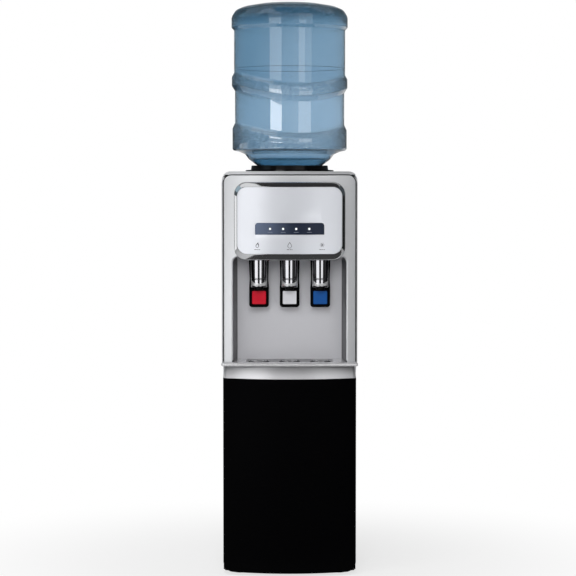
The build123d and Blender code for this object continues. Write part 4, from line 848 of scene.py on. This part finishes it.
def make_reflection_lip(water_name, x):
    """Light lip round the foot of a tap's cover, higher at the sides and the back than in front: a painted
    reflection of the bright floor and surroundings on the cover's rounded foot.
    """
    turns = [math.pi * step / ROUND_STEPS for step in range(ROUND_STEPS + 1)]
    heights = [LIP_MIDDLE_Z + LIP_RISE * abs(math.cos(turn)) ** 3 for turn in turns]
    heights += [LIP_MIDDLE_Z + LIP_RISE] * 2 * (CORNER_STEPS + 1)
    edges = []
    for inset in (LIP_PROUD, LIP_INSIDE):
        level = cap_loop(x, LIP_TAPER_Z, inset)
        edges.append([(px, py, height) for (px, py, _), height in zip(level, heights)])
    foot = [cap_loop(x, LIP_FOOT, -0.1), cap_loop(x, LIP_FOOT + 0.6, LIP_PROUD)]
    loops = [*foot, *edges, cap_loop(x, LIP_FOOT, LIP_INSIDE)]
    reflection_lip = add_piece(f"tap_reflection_lip_{water_name}", *skin(loops, wrap=True), painted_reflection_lip, "cabinet", smooth=40)


for water_name, tap_x in TAPS.items():
    make_cover(water_name, tap_x)
    make_reflection_lip(water_name, tap_x)


# Dark bead in the seams between the front fascia, the lid and the side panels, a painted shadow of the seams
SHADE_BEAD_HALF = 1.05
SHADE_BEAD_X = 153.7
SHADE_BEAD_FOOT = 500.0
SHADE_BEAD_TOP = 932.9
SHADE_BEAD_RADIUS = 19.0
SHADE_BEAD_BACK = -1.5
SHADE_BEAD_PROUD = 0.2
SHADE_BEAD_STEPS = 12


def shade_bead_route():
    """The bead's way up the left side, over the top and down the right: x, z and its outward direction."""
    bend_x = SHADE_BEAD_RADIUS - SHADE_BEAD_X
    bend_z = SHADE_BEAD_TOP - SHADE_BEAD_RADIUS
    route = [(-SHADE_BEAD_X, SHADE_BEAD_FOOT, -1.0, 0.0), (-SHADE_BEAD_X, bend_z, -1.0, 0.0)]
    for step in range(1, SHADE_BEAD_STEPS + 1):
        turn = math.radians(180 - 90 * step / SHADE_BEAD_STEPS)
        out_x, out_z = math.cos(turn), math.sin(turn)
        route.append((bend_x + SHADE_BEAD_RADIUS * out_x, bend_z + SHADE_BEAD_RADIUS * out_z, out_x, out_z))
    left = list(route)
    for step in range(1, 2 * SHADE_BEAD_STEPS):
        route.append((bend_x * (1 - step / SHADE_BEAD_STEPS), SHADE_BEAD_TOP, 0.0, 1.0))
    return route + [(-x, z, -out_x, out_z) for x, z, out_x, out_z in reversed(left)]


def make_shade_bead():
    """Thin dark rubber bead up both sides of the fascia and along the seam under the lid: it paints the
    shadow in the groove and the seam.
    """
    loops = []
    for x, z, out_x, out_z in shade_bead_route():
        (x0, z0), (x1, z1) = [(x + out_x * reach, z + out_z * reach) for reach in (-SHADE_BEAD_HALF, SHADE_BEAD_HALF)]
        loops.append([(x0, bow_y(x0, SHADE_BEAD_BACK), z0), (x0, bow_y(x0, SHADE_BEAD_PROUD), z0),
                      (x1, bow_y(x1, SHADE_BEAD_PROUD), z1), (x1, bow_y(x1, SHADE_BEAD_BACK), z1)])
    # painted shadow of the seams
    shade_bead = add_piece("fascia_shade_bead", *skin(loops), FINISHES["rubber_black"], "cabinet", smooth=40)


make_shade_bead()

# Studio
scene = bpy.context.scene
scene.view_settings.view_transform = "Standard"

PHOTO_PIXELS = 576
FOCAL_PIXELS = 2085.9
SENSOR = 36
CAMERA_PLACE = (-0.0038, -4.953, 0.924)
CAMERA_TILT = math.radians(87)


def make_camera():
    """The photo's camera: level with the pod, from the front and tilted down slightly, with a long lens."""
    lens = bpy.data.cameras.new("camera")
    lens.sensor_width = SENSOR
    lens.lens = FOCAL_PIXELS / PHOTO_PIXELS * SENSOR
    lens.clip_end = 100
    camera = bpy.data.objects.new("camera", lens)
    camera.location = CAMERA_PLACE
    camera.rotation_euler = (CAMERA_TILT, 0, 0)
    scene.collection.objects.link(camera)
    scene.camera = camera


AIR_LIGHT = 0.22


def make_world():
    """White air that the camera and mirrors see, dimmer where it lights the object."""
    world = bpy.data.worlds.new("white_air")
    world.use_nodes = True
    scene.world = world
    net = Net(world.node_tree)
    rays = ("Camera", "Glossy", "Transmission")
    sight = [net.node("ShaderNodeLightPath", output=f"Is {ray} Ray") for ray in rays]
    seen = sight[0].math("MAXIMUM", sight[1]).math("MAXIMUM", sight[2])
    background = world.node_tree.nodes["Background"]
    net.put(background.inputs["Color"], (1, 1, 1, 1))
    net.put(background.inputs["Strength"], AIR_LIGHT + seen * (1 - AIR_LIGHT))


def stage_mesh(name, points, faces, material):
    """Object of the studio, not of the dispenser. Its points are in metres."""
    mesh = bpy.data.meshes.new(name)
    mesh.from_pydata(points, [], faces)
    mesh.materials.append(material)
    piece = bpy.data.objects.new(name, mesh)
    scene.collection.objects.link(piece)
    return piece


FLOOR_REACH = 40


def make_floor():
    """White floor that takes a soft shadow near the object and fades into the white air."""
    made = Finish("studio_floor", Base_Color=(0.9, 0.9, 0.9, 1), Roughness=0.9, Specular_IOR_Level=0.0)
    spot = made.place()
    away = made.node("ShaderNodeVectorMath", {"operation": "LENGTH"}, [spot], output="Value")
    camera_ray = made.node("ShaderNodeLightPath", output="Is Camera Ray")
    glow = made.node("ShaderNodeEmission", None, [(1, 1, 1, 1), 1.0])
    share = camera_ray * made.slope(away, 0.15, 1.1, 0.72, 1.0)
    surface = made.node("ShaderNodeMixShader", None, [share, Value(made, made.shader.outputs[0]), glow])
    output = made.tree.nodes["Material Output"]
    made.put(output.inputs["Surface"], surface)
    corners = [(x * FLOOR_REACH, y * FLOOR_REACH, 0) for x, y in ((-1, -1), (1, -1), (1, 1), (-1, 1))]
    stage_mesh("studio_floor", corners, [(0, 1, 2, 3)], made.material)


def glow_material(name, level, tint=WHITE):
    """Even glow of a studio panel."""
    made = Finish(name, Base_Color=(0, 0, 0, 1), Specular_IOR_Level=0.0, Roughness=1.0)
    return made.use(Emission_Color=(*(level * share for share in tint), 1), Emission_Strength=1.0)


def mirror_only(piece):
    """Lets only mirror reflections see a studio panel."""
    piece.visible_camera = False
    piece.visible_diffuse = False
    piece.visible_transmission = False
    piece.visible_volume_scatter = False
    piece.visible_shadow = False


# azimuth in degrees from the front towards the right where each panel starts, and its level
LOW_PANELS = [(-180, 0.5), (-170, 0.02), (-120, 1.0), (-92, 0.04), (-60, 0.3), (-44, 0.45), (-24, 0.1),
              (28, 0.18), (60, 0.02), (135, 0.6), (170, 0.3), (180, 0)]
HIGH_PANELS = [(-180, 0.3), (-168, 0.1), (-60, 0.1), (-41, 0.45), (-16, 0.25), (8, 0.35), (18, 0.6),
               (45, 0.08), (165, 0.3), (180, 0)]
# rows of panels: the heights where each starts and ends, the lower one for the cabinet
PANEL_ROWS = (("low", LOW_PANELS, -1.5, 0.94), ("high", HIGH_PANELS, 0.94, 3.2))
# bright windows in front of them: azimuth from and to, height from and to, level
WINDOWS = [(-60, -17, 0.385, 0.55, 4.4), (11, 36, 0.385, 0.55, 4.2), (-36, -14, 0.945, 0.965, 8.0),
           (8, 18, 0.945, 0.965, 3.0), (-60, 20, 0.205, 0.31, 1.5), (20, 50, 0.205, 0.31, 0.9),
           (-40, -16, 1.10, 1.24, 4.6), (-40, -16, 0.99, 1.10, 0.7), (-40, -16, 1.24, 1.55, 1.3),
           (18, 44, 1.02, 1.24, 1.6), (18, 31, 1.30, 1.45, 1.3)]
WALL_DISTANCE = 3.0
WINDOW_DISTANCE = 2.9
SIDE_TINT = (0.8, 0.92, 1.0)
CORNER_TINT = (0.7, 0.9, 1.0)
PANEL_STEPS = 6


def make_panel(name, start, end, low, high, level, distance=WALL_DISTANCE, tint=WHITE):
    """Upright panel round the object, which only its glossy surfaces see."""
    turns = [math.radians(start + (end - start) * step / PANEL_STEPS) for step in range(PANEL_STEPS + 1)]
    row = [(distance * math.sin(turn), -distance * math.cos(turn)) for turn in turns]
    points = [(x, y, z) for z in (low, high) for x, y in row]
    count = len(row)
    faces = [(step, step + 1, step + count + 1, step + count) for step in range(PANEL_STEPS)]
    mirror_only(stage_mesh(name, points, faces, glow_material(f"{name}_glow", level, tint)))


def make_panels():
    """Wall of panels, in a lower row for the cabinet and an upper one for the bottle, and its windows."""
    for row, panels, low, high in PANEL_ROWS:
        for number, ((start, level), (end, _)) in enumerate(zip(panels, panels[1:])):
            aside = row == "high" and (end < -50 or start > 40)
            tint = SIDE_TINT if aside else WHITE
            make_panel(f"studio_{row}_{number}", start, end, low, high, level, tint=tint)
    make_panel("studio_corner_light", -120, -60, 1.6, 3.2, 0.5, WINDOW_DISTANCE, CORNER_TINT)
    for number, window in enumerate(WINDOWS):
        make_panel(f"studio_window_{number}", *window, distance=WINDOW_DISTANCE)


REACH = 4.0
CEILING = 3.1
CEILING_SPLIT = -0.75
# level cards: name, x from and to, y from and to, height and level
CARDS = [("ceiling_left", -REACH, CEILING_SPLIT, -REACH, -0.25, CEILING, 0.8),
         ("ceiling_right", CEILING_SPLIT, REACH, -REACH, -0.25, CEILING, 0.03),
         ("ceiling_back", -REACH, REACH, -0.25, 1.3, CEILING, 0.35),
         ("ceiling_far", -REACH, REACH, 1.3, REACH, CEILING, 0.06),
         ("low_right", -0.42, 2.0, -2.6, -0.19, 0.02, 0.05)]


def make_cards():
    """Ceiling and floor cards that only glossy surfaces see: bright on the left, dark on the right."""
    for name, x0, x1, y0, y1, z, level in CARDS:
        corners = [(x0, y0, z), (x1, y0, z), (x1, y1, z), (x0, y1, z)]
        card = stage_mesh(f"studio_{name}", corners, [(0, 1, 2, 3)], glow_material(f"{name}_glow", level))
        mirror_only(card)


def make_lamp(name, place, target, size, power):
    """Soft lamp that lights the object but isn't seen in it."""
    light = bpy.data.lights.new(name, "AREA")
    light.shape = "RECTANGLE"
    light.size, light.size_y = size
    light.energy = power
    lamp = bpy.data.objects.new(name, light)
    lamp.location = place
    lamp.rotation_euler = (Vector(target) - Vector(place)).to_track_quat("-Z", "Y").to_euler()
    lamp.visible_glossy = False
    lamp.visible_transmission = False
    scene.collection.objects.link(lamp)


make_camera()
make_world()
make_floor()
make_panels()
make_cards()
make_lamp("front_lamp", (-0.15, -3.7, 1.75), (0, 0, 0.72), (1.0, 1.6), 61)
make_lamp("left_lamp", (-2.4, -2.6, 1.4), (0, 0, 0.72), (0.6, 1.4), 5)
make_lamp("top_lamp", (-0.6, -1.2, 3.0), (0, 0, 0.7), (1.2, 0.8), 20)
